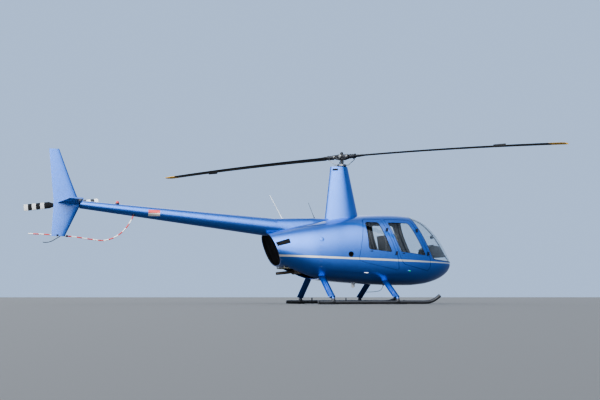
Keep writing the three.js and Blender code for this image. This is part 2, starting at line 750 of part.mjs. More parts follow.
function rotorHubSolid() {
  const outline = [
    [hubReach, hubHeight - hubHalfHeight + 14, 12], [hubReach, hubHeight + hubHalfHeight, 14],
    [-hubReach, hubHeight + hubHalfHeight, 14], [-hubReach, hubHeight - hubHalfHeight + 14, 12],
    [-70, hubHeight - 70, 20], [70, hubHeight - 70, 20],
  ];
  let solid = prism(outline, -58, 58);
  solid = solid.add(rod([0, 0, mastTop - 120], [0, 0, headTop - 20], shaftRadius, mastSides));
  solid = solid.add(rod([0, 0, headTop - 60], [0, 0, headTop], 34, 10));
  solid = solid.add(rod([0, -92, hubHeight + 8], [0, 92, hubHeight + 8], 44, 12));
  for (const x of [-158, 158]) {
    solid = solid.add(rod([x, -84, hubHeight + 6], [x, 84, hubHeight + 6], 30, 10));
  }
  return solid;
}
add('rotor_hub', rotorHubSolid(), darkMetal, rotorHead);

const droop = 130;
// Columns: radius, chord, thickness, twist in degrees
const bladeSections = [
  [330, 110, 66, 6], [400, 150, 52, 6], [520, rotorChord, 36, 5.5], [1500, rotorChord, 31, 4.4],
  [2700, rotorChord, 30, 3], [3900, rotorChord, 29, 1.5], [rotorRadius - 60, rotorChord, 28, 0.3],
  [rotorRadius, rotorChord * 0.9, 22, 0.2],
];

function bladeSolid(sections, height, sag, reach, quarter) {
  return loft(sections.map(([radius, chord, thickness, twist]) => {
    const angle = THREE.MathUtils.degToRad(twist);
    const along = new THREE.Vector3(0, -Math.cos(angle), -Math.sin(angle));
    const thick = new THREE.Vector3(0, -Math.sin(angle), Math.cos(angle));
    const drop = sag * (radius / reach) ** 2;
    const nose = new THREE.Vector3(radius, 0, height - drop).addScaledVector(along, -quarter(chord));
    return wingRing(nose, along, thick, chord, thickness);
  }));
}

const noseAhead = (chord) => Math.min(0.5 * chord, rotorChord * 0.25);
const bladeRoot = rod([hubReach + touchGap, 0, hubHeight], [352, 0, hubHeight], 50, 12)
  .add(rod([250, 0, hubHeight - 4], [250, 112, hubHeight - 40], 16, 8))
  .add(rod([250, 112, hubHeight - 58], [250, 112, hubHeight - 24], 18, 8));
const blade = bladeSolid(bladeSections, hubHeight, droop, rotorRadius, noseAhead).add(bladeRoot);
add('main_blade_a', blade, black, rotorHead);
const bladeB = new THREE.Group();
bladeB.rotation.z = Math.PI;
rotorHead.add(bladeB);
add('main_blade_b', blade, black, bladeB);

// Swashplate: a fixed plate on the mast and a turning ring that carries the pitch links.
const plate = rod([0, 0, plateTop - 28], [0, 0, plateTop], 104, 20)
  .subtract(rod([0, 0, plateTop - 60], [0, 0, plateTop + 40], mastRadius + touchGap, mastSides));
add('swashplate', plate, bareMetal);
const linkFoot = [118, 88];
const linkTopZ = hubHeight - 66;
let links = rod([0, 0, plateTop + 0.6], [0, 0, plateTop + 24], 96, 20)
  .subtract(rod([0, 0, plateTop - 60], [0, 0, plateTop + 60], mastRadius + 5, mastSides));
for (const side of [1, -1]) {
  const foot = [side * linkFoot[0], side * linkFoot[1], plateTop + 12];
  links = links
    .add(rod([side * 60, side * 50, plateTop + 12], foot, 11, 6))
    .add(rod(foot, [side * 250, side * 112, linkTopZ], 8, 6));
}
add('pitch_links', links, bareMetal, rotorHead);

// Tail end: gearbox, fin, stabilizer, guard and skid

const finSide = -85;
// Columns: z, leading edge x, chord, thickness
const finSections = [
  [1340, -5845, 258, 20], [1930, -5572, 502, 44], [2050, -5590, 486, 44], [2500, -5772, 350, 32],
  [3070, -5988, 190, 18],
];
const back = new THREE.Vector3(-1, 0, 0);
const leftward = new THREE.Vector3(0, 1, 0);

function finSolid(growth) {
  return loft(finSections.map(([z, x, chord, thickness]) => wingRing(
    new THREE.Vector3(x + growth, finSide, z), back, leftward, chord + 2 * growth, thickness + 2 * growth)));
}
add('vertical_fin', finSolid(0), paint);

// Columns: y, leading edge x, chord, thickness, z
const stabilizerSections = [[-70, -5530, 470, 38, 2000], [-1000, -5582, 262, 22, 2018]];
const upward = new THREE.Vector3(0, 0, 1);
const stabilizer = loft(stabilizerSections.map(([y, x, chord, thickness, z]) => wingRing(
  new THREE.Vector3(x, y, z), back, upward, chord, thickness)));
const boomEndSpace = box(boomRear - 0.3, boomRear + 400, -200, 200, 1600, 2400);
add('horizontal_stabilizer',
  largest(stabilizer.subtract(finSolid(touchGap + 0.1)).subtract(boomEndSpace)), paint);

const gearboxSide = finSide + 22 + touchGap + 0.2;
const gearbox = box(boomRear - 150, boomRear - touchGap, gearboxSide, 62, tailRotorHeight - 70, tailRotorHeight + 62)
  .add(box(boomRear - 420, boomRear - 120, gearboxSide, 55, tailRotorHeight - 58, tailRotorHeight + 52))
  .add(rod([-mastToTailRotor, 0, tailRotorHeight], [-mastToTailRotor, 120, tailRotorHeight], 62, 14))
  .add(rod([-mastToTailRotor, 100, tailRotorHeight], [-mastToTailRotor, 168, tailRotorHeight], 38, 14))
  .subtract(rod([-mastToTailRotor, 60, tailRotorHeight], [-mastToTailRotor, 200, tailRotorHeight], 20.7, mastSides))
  .subtract(finSolid(touchGap))
  .subtract(boomSpace);
add('tail_gearbox', largest(gearbox), darkMetal);

const guardRadius = 12;
const guardSide = finSide + 26;
const guardLine = [
  [-4490, guardSide, 1800], [-4545, guardSide, 1680], [-4660, guardSide, 1505], [-4840, guardSide, 1352],
  [-5070, guardSide, 1272], [-5330, guardSide, 1290], [-5640, guardSide, 1330], [-6110, guardSide, 1366],
  [-6540, guardSide, 1380],
];
const guard = tube(guardLine, guardRadius, 6, 20)
  .add(rod([-4490, guardSide, 1775], [-4490, guardSide, 1840], 26, 8))
  .subtract(boomSpace)
  .subtract(finSolid(touchGap));
add('tail_rotor_guard', largest(guard), redWhite);

const skidFoot = [-5925, finSide, 1345];
const tailSkid = tube([skidFoot, [-6010, finSide, 1290], [-6110, finSide, 1232], [-6200, finSide, 1212],
  [-6262, finSide, 1216]], 7, 6, 9);
add('tail_skid', tailSkid.subtract(finSolid(touchGap)), darkMetal);

// Tail rotor, drawn along +X in the x-z plane and turned to its parked angle
const tailRotor = new THREE.Group();
tailRotor.position.set(-mastToTailRotor, tailRotorSide, tailRotorHeight);
tailRotor.rotation.y = THREE.MathUtils.degToRad(180 - tailBladeAngle);
model.add(tailRotor);
const tailHub = rod([0, -tailRotorSide + 75, 0], [0, 30, 0], 20, mastSides)
  .add(box(-95, 95, -22, 22, -38, 38))
  .add(rod([0, -30, 0], [0, 34, 0], 34, 12));
add('tail_rotor_hub', tailHub, bareMetal, tailRotor);
// Columns: radius, chord, thickness, twist in degrees
const tailBladeSections = [[96, 60, 30, 0], [190, 90, 20, 0], [240, tailRotorChord, 15, 0],
  [tailRotorRadius - 20, tailRotorChord, 12, 0], [tailRotorRadius, tailRotorChord * 0.85, 9, 0]];
const tailBladeFlat = bladeSolid(tailBladeSections, 0, 0, tailRotorRadius, (chord) => chord * 0.35);
const tailBladeGeometry = toGeometry(tailBladeFlat);
tailBladeGeometry.rotateX(THREE.MathUtils.degToRad(90 - 12));
const tailBlade = toSolid(tailBladeGeometry);
for (const [name, turn] of [['tail_blade_a', 0], ['tail_blade_b', Math.PI]]) {
  const holder = new THREE.Group();
  holder.rotation.y = turn;
  tailRotor.add(holder);
  add(name, tailBlade, black, holder);
}

// Beacon and aerials

const beaconX = -4815;
const beaconTop = boomHeightAt(beaconX) + boomRadiusAt(beaconX);
const beacon = rod([beaconX, 0, beaconTop - 30], [beaconX, 0, beaconTop + 18], 40, 12)
  .add(rod([beaconX, 0, beaconTop], [beaconX, 0, beaconTop + 62], 32, 12, 20));
add('beacon', beacon.subtract(boomSpace), redLens);

const aerialFoot = boomHeightAt(-1345) + boomRadiusAt(-1345);
const whiteAerial = rod([-1345, 0, aerialFoot - 60], [-1345, 0, aerialFoot + 26], 26, 8, 12)
  .add(rod([-1345, 0, aerialFoot + 8], [-1620, 0, 2290], 9, 6, 4));
add('radio_aerial', largest(whiteAerial.subtract(boomSpace).subtract(saddle)), whitePaint);

const whipFoot = [-630, 0, 1815];
const whip = rod(whipFoot, [-630, 0, 1848], 15, 8, 8)
  .add(rod([-632, 0, 1836], [-764, 0, 2156], 5, 6, 3));
add('whip_aerial', largest(whip.subtract(saddle)), black);

const bellyBlade = loft([[470, 100, 14], [345, 62, 10]].map(([z, chord, thickness]) => wingRing(
  new THREE.Vector3(250 + chord * 0.5, 0, z), back, leftward, chord, thickness)));
add('belly_blade_aerial', largest(bellyBlade.subtract(skinSpace)), whitePaint);

const bellyWhip = tube([[950, 0, 440], [938, 0, 370], [880, 0, 292], [740, 0, 262], [560, 0, 252]], 5, 6, 10)
  .add(rod([950, 0, 430], [950, 0, 392], 16, 8, 12));
add('belly_whip_aerial', largest(bellyWhip.subtract(skinSpace)), black);

const lightPlace = [1310, 700];
const lamp = new THREE.SphereGeometry(1, 12, 8);
lamp.scale(40, 20, 20);
lamp.translate(lightPlace[0], -skinHalfWidth(...lightPlace) - 2, lightPlace[1]);
addPair('position_light', largest(toSolid(lamp).subtract(skinSpace)), redLens);

// The frame's origin is the middle of the footprint.
model.updateMatrixWorld(true);
const extent = new THREE.Box3().setFromObject(model, true);
model.position.set(-(extent.min.x + extent.max.x) / 2, -(extent.min.y + extent.max.y) / 2, 0);
model.updateMatrixWorld(true);

// Joint places in the same frame, for a viewer that moves the doors and rotors.
const rightHinge = ({ upper, lower }) => ({
  point: lower.clone().add(model.position),
  axis: upper.clone().sub(lower).normalize(),
});
model.userData.joints = {
  frontRightDoor: rightHinge(doorHinges.front),
  rearRightDoor: rightHinge(doorHinges.rear),
  mainRotor: { point: new THREE.Vector3(0, 0, hubHeight).add(model.position), axis: upward },
  tailRotor: { point: tailRotor.position.clone().add(model.position), axis: leftward },
};

export default model;
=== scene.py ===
# %% [markdown]
# # A light helicopter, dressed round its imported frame
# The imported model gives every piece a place, a size and a body to move with. This lesson
# keeps that frame and builds the looks on it: a smooth painted skin, clear windows, padded
# seats, a rotor head with its links and bolts, and rows of rivets made by Geometry Nodes.
# Lengths are in metres. +X points to the nose, +Y to the left side and +Z up.

import json
import math
from contextlib import contextmanager

import bmesh
import bpy
import numpy as np
from mathutils import Matrix, Vector
from mathutils.bvhtree import BVHTree


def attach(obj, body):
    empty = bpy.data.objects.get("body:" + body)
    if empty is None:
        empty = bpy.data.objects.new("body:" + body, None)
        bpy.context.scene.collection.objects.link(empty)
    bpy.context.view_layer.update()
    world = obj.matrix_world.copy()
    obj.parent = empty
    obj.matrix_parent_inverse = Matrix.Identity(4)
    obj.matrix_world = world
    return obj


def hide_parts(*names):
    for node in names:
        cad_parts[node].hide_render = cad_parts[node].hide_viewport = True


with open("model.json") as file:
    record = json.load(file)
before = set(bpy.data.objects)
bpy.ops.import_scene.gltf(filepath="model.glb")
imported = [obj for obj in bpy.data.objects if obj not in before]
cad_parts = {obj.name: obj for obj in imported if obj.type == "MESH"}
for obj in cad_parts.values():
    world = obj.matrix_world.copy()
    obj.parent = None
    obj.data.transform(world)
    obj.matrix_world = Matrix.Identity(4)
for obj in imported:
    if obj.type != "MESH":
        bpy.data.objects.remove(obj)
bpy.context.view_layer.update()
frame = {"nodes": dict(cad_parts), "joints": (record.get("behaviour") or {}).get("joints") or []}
joints = {joint["name"]: joint for joint in frame["joints"]}
mast_x = joints["main_rotor_spin"]["pos_m"][0]
tail_hub = Vector(joints["tail_rotor_spin"]["pos_m"])

# %% [markdown]
# ## Camera, floor and light
# The photograph was taken from the ground, a little behind the right side, so the camera
# stands at floor level and looks slightly up. The studio is plain: a grey floor, and a soft
# even sky in which two broad patches glow, the stronger one behind the camera's left
# shoulder. They light the object but don't show in the background.

# %% Camera at the photograph's angle
camera_azimuth = math.radians(-17.8)
camera_distance, camera_height = 22.0, 0.15
pixels_per_metre = 46.5
picture_width, sensor_width = 600, 36
mast_right_of_middle, hub_above_middle = 42, 43
hub_z = 3.17
forward_way, backward, leftward, upward = [Vector(way) for way in ((1, 0, 0), (-1, 0, 0), (0, 1, 0),
    (0, 0, 1))]
right = Vector((math.cos(camera_azimuth), math.sin(camera_azimuth), 0))
back = Vector((math.sin(camera_azimuth), -math.cos(camera_azimuth), 0))
view_centre = forward_way * mast_x - right * mast_right_of_middle / pixels_per_metre
camera = bpy.data.objects.new("camera", bpy.data.cameras.new("camera"))
bpy.context.scene.collection.objects.link(camera)
bpy.context.scene.camera = camera
camera.data.lens = pixels_per_metre * camera_distance * sensor_width / picture_width
camera.location = view_centre + back * camera_distance + upward * camera_height
tilt = math.atan2(hub_z - camera_height, camera_distance) - math.atan2(hub_above_middle,
    pixels_per_metre * camera_distance)
camera.rotation_mode = "QUATERNION"
camera.rotation_quaternion = (upward * math.tan(tilt) - back).to_track_quat("-Z", "Y")


# %% Helpers for nodes of shaders and of shapes
def node(tree, kind, inputs=None, **settings):
    """Adds a node; an input takes a value or the output of another node."""
    made = tree.nodes.new(kind if "Node" in kind else "ShaderNode" + kind)
    for key, value in settings.items():
        setattr(made, key, value)
    for key, value in (inputs or {}).items():
        if isinstance(value, bpy.types.NodeSocket):
            tree.links.new(value, made.inputs[key])
        else:
            made.inputs[key].default_value = value
    return made


def sums(tree, operation, *values):
    return node(tree, "Math", dict(enumerate(values)), operation=operation).outputs[0]


def mixed(tree, share, first, second):
    return node(tree, "Mix", {0: share, 6: first, 7: second}, data_type="RGBA").outputs[2]


def ramp(tree, value, low, high, to_low=0.0, to_high=1.0, **settings):
    """Carries a value from one span over to another, and holds it at the ends."""
    return node(tree, "MapRange", dict(enumerate((value, low, high, to_low, to_high))),
        **settings).outputs[0]


def edge(tree, value, at, width=0.0006):
    """0 below a value and 1 above it, with a short soft step between."""
    return ramp(tree, value, at - width, at + width)


def noise(tree, where, size, detail=3.0):
    return node(tree, "TexNoise", {"Vector": where, "Scale": 1 / size, "Detail": detail}).outputs[0]


def apart(tree, where):
    return node(tree, "SeparateXYZ", {0: where}).outputs


def full(colour):
    return (*colour, 1.0)


# %% Floor and sky
floor_size = 400
floor_mesh = bpy.data.meshes.new("floor")
floor_mesh.from_pydata([(x * floor_size, y * floor_size, 0) for x, y in ((-1, -1), (1, -1), (1, 1),
    (-1, 1))], [], [(0, 1, 2, 3)])
studio_floor = bpy.data.objects.new("floor", floor_mesh)
bpy.context.scene.collection.objects.link(studio_floor)
floor_paint = bpy.data.materials.new("floor_paint")
floor_paint.use_nodes = True
floor_shader = floor_paint.node_tree.nodes["Principled BSDF"]
floor_shader.inputs["Base Color"].default_value = full((0.11, 0.11, 0.107))
floor_shader.inputs["Roughness"].default_value = 0.9
floor_mesh.materials.append(floor_paint)
world = bpy.data.worlds.new("sky")
world.use_nodes = True
bpy.context.scene.world = world
bpy.context.scene.view_settings.look = "AgX - High Contrast"
sky = world.node_tree
plain_sky = sky.nodes["Background"]
plain_sky.inputs["Color"].default_value = full((0.385, 0.5, 0.69))


def glow(below, spot, strength, inner=8, outer=56):
    """Adds to a sky a white patch towards spot that fades between two angles."""
    where = node(sky, "TexCoord").outputs["Generated"]
    facing = node(sky, "VectorMath", {0: where, 1: Vector(spot).normalized()}, operation="DOT_PRODUCT")
    fade = ramp(sky, facing.outputs["Value"], math.cos(math.radians(outer)),
        math.cos(math.radians(inner)), 0.0, strength, interpolation_type="SMOOTHSTEP")
    patch = node(sky, "Background", {"Strength": fade}).outputs[0]
    return node(sky, "AddShader", {0: below, 1: patch}).outputs[0]


lit_sky = glow(glow(plain_sky.outputs[0], (-7, -12, 10), 5.2, outer=62), (-6, 14, 9), 1.2)
ray = node(sky, "LightPath").outputs
seen = sums(sky, "MAXIMUM", ray["Is Camera Ray"], ray["Is Transmission Ray"])
both_skies = node(sky, "MixShader", {0: seen, 1: lit_sky, 2: plain_sky.outputs[0]})
sky.links.new(both_skies.outputs[0], sky.nodes["World Output"].inputs["Surface"])

# %% [markdown]
# Every piece goes through the same few steps: make an object from a mesh, give it its
# materials, say which body it rides on, and hide the plain CAD node that it stands for.
# Short functions for that keep the rest of the lesson about shapes. Most side parts come in
# pairs, so one of them also makes the left piece from the right one.

# %% Put a mesh into the scene as a finished piece
@contextmanager
def edited(mesh):
    """Opens a mesh for bmesh steps and writes it back."""
    bm = bmesh.new()
    bm.from_mesh(mesh)
    yield bm
    bm.to_mesh(mesh)
    bm.free()


def as_object(mesh, name):
    piece = bpy.data.objects.new(name, mesh)
    bpy.context.scene.collection.objects.link(piece)
    return piece


def place(mesh, name, materials=(), stands_for=(), body="airframe"):
    piece = as_object(mesh, name)
    for material in materials:
        piece.data.materials.append(material)
    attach(piece, body)
    if stands_for:
        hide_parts(*stands_for)
    return piece


def smooth(mesh, sharpest=32):
    """Round shading everywhere but at edges that turn by more than the given degrees."""
    with edited(mesh) as bm:
        for face in bm.faces:
            face.smooth = True
        for line in bm.edges:
            line.smooth = len(line.link_faces) == 2 and line.calc_face_angle(0) < math.radians(sharpest)
    return mesh


def put(mesh, name, material, stands_for=None, body="airframe", sharpest=32):
    """Places a smooth piece of one material that stands for one node or none."""
    return place(smooth(mesh, sharpest), name, [material], [stands_for] if stands_for else [],
        body)


def mirrored(mesh):
    """The same piece on the left side."""
    out = mesh.copy()
    with edited(out) as bm:
        for v in bm.verts:
            v.co.y = -v.co.y
        bmesh.ops.reverse_faces(bm, faces=bm.faces)
    return out


def sides_of(mesh):
    return ("right", mesh), ("left", mirrored(mesh))


def pair(mesh, name, material, stands_for="", sharpest=32):
    """Puts a piece on the right and its mirror image on the left; * in a name is the side."""
    return [put(made, name.replace("*", side), material, stands_for.replace("*", side),
        sharpest=sharpest) for side, made in sides_of(mesh)]


def joined(meshes):
    """One mesh from several; they may touch, but each stays a closed body."""
    bm = bmesh.new()
    for mesh in meshes:
        bm.from_mesh(mesh)
    out = bpy.data.meshes.new("joined")
    bm.to_mesh(out)
    bm.free()
    return out


# %% [markdown]
# ## Lofts, rods and tubes
# Most of this machine is a skin stretched over sections: the cabin, the tail cone, the
# fin and every blade. A loft does that: rings with the same number of points, joined by
# quads and closed at both ends. It is simpler to steer than a subdivision cage, since each
# section is a line of numbers.

# %% A loft, and the simple solids that come from it
def closed(points, faces):
    """A mesh from points and faces, with all faces turned outwards."""
    mesh = bpy.data.meshes.new("shape")
    mesh.from_pydata([tuple(p) for p in points], [], faces)
    with edited(mesh) as bm:
        bmesh.ops.recalc_face_normals(bm, faces=bm.faces)
    return mesh


def loft(rings):
    around = len(rings[0])
    end = (len(rings) - 1) * around
    faces = [(k + i, k + (i + 1) % around, k + (i + 1) % around + around, k + i + around)
        for k in range(0, end, around) for i in range(around)]
    faces += [tuple(range(around))[::-1], tuple(range(end, end + around))]
    return closed([p for ring in rings for p in ring], faces)


def circle(count):
    """Cosine and sine of evenly spaced turns."""
    turns = [2 * math.pi * i / count for i in range(count)]
    return [(math.cos(turn), math.sin(turn)) for turn in turns]


def ring_about(centre, along, radius, sides, squash=1.0, up=upward):
    along = Vector(along).normalized()
    side = along.cross(up)
    if side.length < 1e-4:
        side = along.cross(leftward)
    side.normalize()
    top = side.cross(along)
    return [Vector(centre) + side * radius * c + top * radius * squash * s for c, s in circle(sides)]


def turned(profile, start, end, sides=32):
    """A lathe-turned solid: rows of (distance from start, radius) along a straight axis."""
    start, end = Vector(start), Vector(end)
    along = (end - start).normalized()
    return loft([ring_about(start + along * d, along, max(r, 1e-4), sides) for d, r in profile])


def lathe(profile, start, end, sides=32):
    """The same, with the profile in millimetres."""
    return turned([(d / 1000, r / 1000) for d, r in profile], start, end, sides)


def rod(start, end, radius, sides=24, rim=None):
    """A round bar whose two ends have a small chamfer."""
    length = (Vector(end) - Vector(start)).length
    rim = min(radius, length) * 0.12 if rim is None else rim
    profile = [(0, radius - rim), (rim, radius), (length - rim, radius), (length, radius - rim)]
    return turned(profile, start, end, sides)


def smooth_line(points, count):
    """Evenly spaced points on a smooth line through the given ones."""
    table = np.array([tuple(p) for p in points], float)
    last = len(table) - 1
    padded = np.vstack([2 * table[0] - table[1], table, 2 * table[-1] - table[-2]])
    fine = []
    for t in np.linspace(0, last, 24 * last + 1):
        k = min(int(t), last - 1)
        u = t - k
        p0, p1, p2, p3 = padded[k:k + 4]
        a, b, c = [np.linalg.norm(q - p) ** 0.5 for p, q in ((p0, p1), (p1, p2), (p2, p3))]
        leave = ((p1 - p0) / a - (p2 - p0) / (a + b) + (p2 - p1) / b) * b
        arrive = ((p2 - p1) / b - (p3 - p1) / (b + c) + (p3 - p2) / c) * b
        fine.append((1 + 2 * u) * (1 - u) ** 2 * p1 + u * (1 - u) ** 2 * leave + u * u * (3 - 2 * u)
            * p2 + u * u * (u - 1) * arrive)
    fine = np.array(fine)
    reach = np.concatenate([[0], np.cumsum(np.linalg.norm(np.diff(fine, axis=0), axis=1))])
    spots = np.linspace(0, reach[-1], count)
    return [Vector([np.interp(s, reach, fine[:, axis]) for axis in range(3)]) for s in spots]


def tube(points, radius, count=40, sides=16):
    """A round tube on a smooth line, with the distance along it stored for striped paint."""
    line = smooth_line(points, count)
    rings = []
    for i, p in enumerate(line):
        along = line[min(i + 1, count - 1)] - line[max(i - 1, 0)]
        rings.append(ring_about(p, along, radius, sides))
    mesh = loft(rings)
    store = mesh.attributes.new("along", "FLOAT", "POINT")
    run = 0.0
    for i, p in enumerate(line):
        run += (p - line[i - 1]).length if i else 0.0
        for j in range(sides):
            store.data[i * sides + j].value = run
    return mesh


def block(low, high, rim=0.004):
    """A box with softened edges."""
    low, high = Vector(low), Vector(high)
    mesh = bpy.data.meshes.new("block")
    with edited(mesh) as bm:
        bmesh.ops.create_cube(bm, size=1.0)
        for v in bm.verts:
            v.co = Vector([low[i] + (v.co[i] + 0.5) * (high[i] - low[i]) for i in range(3)])
        bmesh.ops.bevel(bm, geom=bm.edges[:], offset=min(rim, 0.3 * min(high - low)), segments=2,
            profile=0.6, affect="EDGES")
    return mesh


def moved(mesh, matrix):
    mesh.transform(matrix)
    return mesh


def between(rows, at):
    """The values of a table of rows at a place between them; the first column is the place."""
    table = np.array(rows, float)
    return [np.interp(at, table[:, 0], column) for column in table.T[1:]]

# %% [markdown]
# ## Cutting panels
# Doors, windows and cowls are cut from one smooth body, so that they line up as the real
# panels do. Blender's Boolean modifier does the cutting; its Manifold solver is quick and
# never leaves holes when both meshes are closed. Each cutter is a side-view outline with
# rounded corners, pushed through the body.

# %% Boolean steps and side-view cutters
def plain_copy(holder):
    """What an object's modifiers make of its mesh."""
    return bpy.data.meshes.new_from_object(holder.evaluated_get(bpy.context.evaluated_depsgraph_get()))


def combined(operation, a, others):
    """A mesh cut by, kept within or joined to the others, one after the other."""
    for other in others:
        first, second = as_object(a, "first"), as_object(other, "second")
        cut = first.modifiers.new("cut", "BOOLEAN")
        cut.operation, cut.solver, cut.object = operation, "MANIFOLD", second
        a = plain_copy(first)
        a.materials.clear()
        bpy.data.objects.remove(first)
        bpy.data.objects.remove(second)
    return a


def minus(a, *cutters):
    return combined("DIFFERENCE", a, cutters)


def within(a, *cutters):
    return combined("INTERSECT", a, cutters)


def plus(a, *others):
    return combined("UNION", a, others)


def grown(outline, distance):
    """The outline with every side moved out by a distance; corners keep their centres."""
    n = len(outline)
    area = sum(outline[i][0] * outline[(i + 1) % n][1] - outline[(i + 1) % n][0] * outline[i][1]
        for i in range(n))
    lines = []
    for i in range(n):
        x0, z0 = outline[i][:2]
        x1, z1 = outline[(i + 1) % n][:2]
        length = math.hypot(x1 - x0, z1 - z0)
        nx, nz = (z1 - z0) / length, -(x1 - x0) / length
        lines.append((nx, nz, nx * x0 + nz * z0 + math.copysign(distance, area * distance)))
    out = []
    for i in range(n):
        (ax, az, ac), (bx, bz, bc) = lines[i - 1], lines[i]
        det = ax * bz - az * bx
        radius = outline[i][2] if len(outline[i]) > 2 else 0
        out.append(((ac * bz - az * bc) / det, (ax * bc - ac * bx) / det, max(0.001, radius + distance)
            if radius else 0))
    return out


def rounded(outline, steps=8):
    """The outline's points, with each corner turned into a short curve."""
    n = len(outline)
    out = []
    for i in range(n):
        corner = Vector(outline[i][:2])
        before = Vector(outline[i - 1][:2]) - corner
        after = Vector(outline[(i + 1) % n][:2]) - corner
        radius = outline[i][2] if len(outline[i]) > 2 else 0
        reach = min(radius, 0.45 * before.length, 0.45 * after.length)
        if reach <= 0:
            out.append(corner)
            continue
        a, b = corner + before.normalized() * reach, corner + after.normalized() * reach
        for k in range(steps + 1):
            t = k / steps
            out.append(a * (1 - t) ** 2 + corner * 2 * t * (1 - t) + b * t * t)
    return out


def prism(outline, y0, y1):
    ring = rounded(outline)
    return loft([[(p.x, y, p.y) for p in ring] for y in (y0, y1)])


def slab(x0, x1, y0, y1, z0, z1):
    return prism([(x0, z0), (x1, z0), (x1, z1), (x0, z1)], y0, y1)


# %% [markdown]
# ## The shape of the body
# The fuselage is one smooth form from the nose to the rear opening. Each row below is a
# section: where it stands, its bottom and top, its half width, the height of its widest
# line, and how square its upper and lower halves are. These are the same numbers as the
# CAD part has, so that every panel stays where the frame says; here the rings are many
# times finer.

# %% Sections of the body, measured from the mast
BODY = np.array([[-1.95, 0.905, 1.44, 0.4, 1.18, 2.3, 2.3], [-1.5, 0.8, 1.545, 0.5, 1.13, 2.4, 2.4],
    [-1.1, 0.655, 1.64, 0.575, 1.06, 2.4, 2.6], [-0.7, 0.52, 1.72, 0.625, 1.01, 2.4, 2.8],
    [-0.2, 0.47, 1.815, 0.64, 0.98, 2.4, 3.0], [0.4, 0.43, 1.905, 0.64, 0.96, 2.5, 3.0],
    [1.0, 0.405, 1.93, 0.632, 0.94, 2.5, 3.0], [1.45, 0.402, 1.905, 0.6, 0.92, 2.5, 2.8],
    [1.8, 0.43, 1.8, 0.54, 0.905, 2.4, 2.6], [2.08, 0.495, 1.58, 0.45, 0.895, 2.3, 2.4],
    [2.3, 0.59, 1.29, 0.335, 0.89, 2.2, 2.2], [2.44, 0.7, 1.06, 0.215, 0.885, 2.1, 2.1],
    [2.505, 0.805, 0.95, 0.1, 0.885, 2.0, 2.0], [2.52, 0.872, 0.898, 0.018, 0.885, 2.0, 2.0]])
BODY[:, 0] += mast_x
inset_centre = np.array([0.55 + mast_x, 0, 1.12])
inset_reach = np.array([1.975, 0.64, 0.76])
wall = 0.028
door_gap = 0.006


def body_at(rows):
    """Every column of the table at fractional rows, by a cubic that never overshoots."""
    rows = np.atleast_1d(rows)
    steps = np.diff(BODY, axis=0)
    slopes = np.zeros_like(BODY)
    both = steps[:-1] * steps[1:]
    total = steps[:-1] + steps[1:]
    slopes[1:-1] = np.where(both > 0, 2 * both / np.where(total == 0, 1, total), 0)
    slopes[0], slopes[-1] = steps[0], steps[-1]
    k = np.minimum(rows.astype(int), len(BODY) - 2)
    t = (rows - k)[:, None]
    return ((1 + 2 * t) * (1 - t) ** 2 * BODY[k] + t * (1 - t) ** 2 * slopes[k] + t * t * (3 - 2 * t)
        * BODY[k + 1] + t * t * (t - 1) * slopes[k + 1])


def body(inset, rows=170, around=168):
    """The body as a closed mesh, pulled in from its skin by a distance."""
    turn = np.arange(around) / around * 2 * np.pi
    c, s = np.cos(turn), np.sin(turn)
    rings = []
    for x, bottom, top, half, wide, upper, lower in body_at(np.linspace(0, len(BODY) - 1, rows)):
        power = 2 / np.where(s > 0, upper, lower)
        rise = np.where(s > 0, top - wide, wide - bottom)
        ring = np.column_stack([np.full(around, x), half * np.sign(c) * np.abs(c) ** power,
            wide + rise * np.sign(s) * np.abs(s) ** power])
        rings.append(inset_centre + (ring - inset_centre) * (1 - inset / inset_reach))
    return loft(rings)


row_table = np.linspace(0, len(BODY) - 1, 4001)
body_table = body_at(row_table)


def section_at(x):
    return [np.interp(x, body_table[:, 0], body_table[:, column]) for column in range(1, 7)]


def skin_share(p):
    """1 on the skin, less inside it."""
    bottom, top, half, wide, upper, lower = section_at(p[:, 0])
    up = p[:, 2] > wide
    power = np.where(up, upper, lower)
    rise = np.where(up, top - wide, wide - bottom)
    return np.abs(p[:, 1] / half) ** power + np.abs((p[:, 2] - wide) / rise) ** power


def skin_y(x, z):
    """Half width of the skin at a place in side view."""
    bottom, top, half, wide, upper, lower = section_at(x)
    power = upper if z > wide else lower
    share = (z - wide) / (top - wide) if z > wide else (wide - z) / (wide - bottom)
    return half * max(0.0, 1 - abs(share) ** power) ** (1 / power)


def skin_normal(points):
    step = 0.002
    slope = np.zeros_like(points)
    for axis, shift in enumerate(np.eye(3) * step):
        slope[:, axis] = skin_share(points + shift) - skin_share(points - shift)
    return slope / np.maximum(np.linalg.norm(slope, axis=1), 1e-9)[:, None]


def table_of(items, key, width=3, kind=float):
    """One property of a mesh's points, corners or faces as a table."""
    table = np.zeros(len(items) * width, kind)
    items.foreach_get(key, table)
    return table.reshape(-1, width) if width > 1 else table


def polish(mesh, insets=(0.0,)):
    """Gives skin faces the exact normals of the body, so that reflections run calmly."""
    smooth(mesh, 28)
    points = table_of(mesh.vertices, "co")
    corner_vertex = table_of(mesh.loops, "vertex_index", 1, int)
    face_sizes = table_of(mesh.polygons, "loop_total", 1, int)
    corner_face = np.repeat(table_of(mesh.polygons, "normal"), face_sizes, axis=0)
    wanted = np.zeros((len(mesh.loops), 3))
    for inset in insets:
        scale = 1 - inset / inset_reach
        at_skin = inset_centre + (points - inset_centre) / scale
        exact = skin_normal(at_skin) / scale
        exact /= np.maximum(np.linalg.norm(exact, axis=1), 1e-9)[:, None]
        near = np.abs(skin_share(at_skin) - 1) < 0.006
        facing = np.sum(exact[corner_vertex] * corner_face, axis=1)
        good = near[corner_vertex] & (np.abs(facing) > 0.93)
        wanted[good] = (exact[corner_vertex] * np.sign(facing)[:, None])[good]
    mesh.normals_split_custom_set(wanted.tolist())
    return mesh


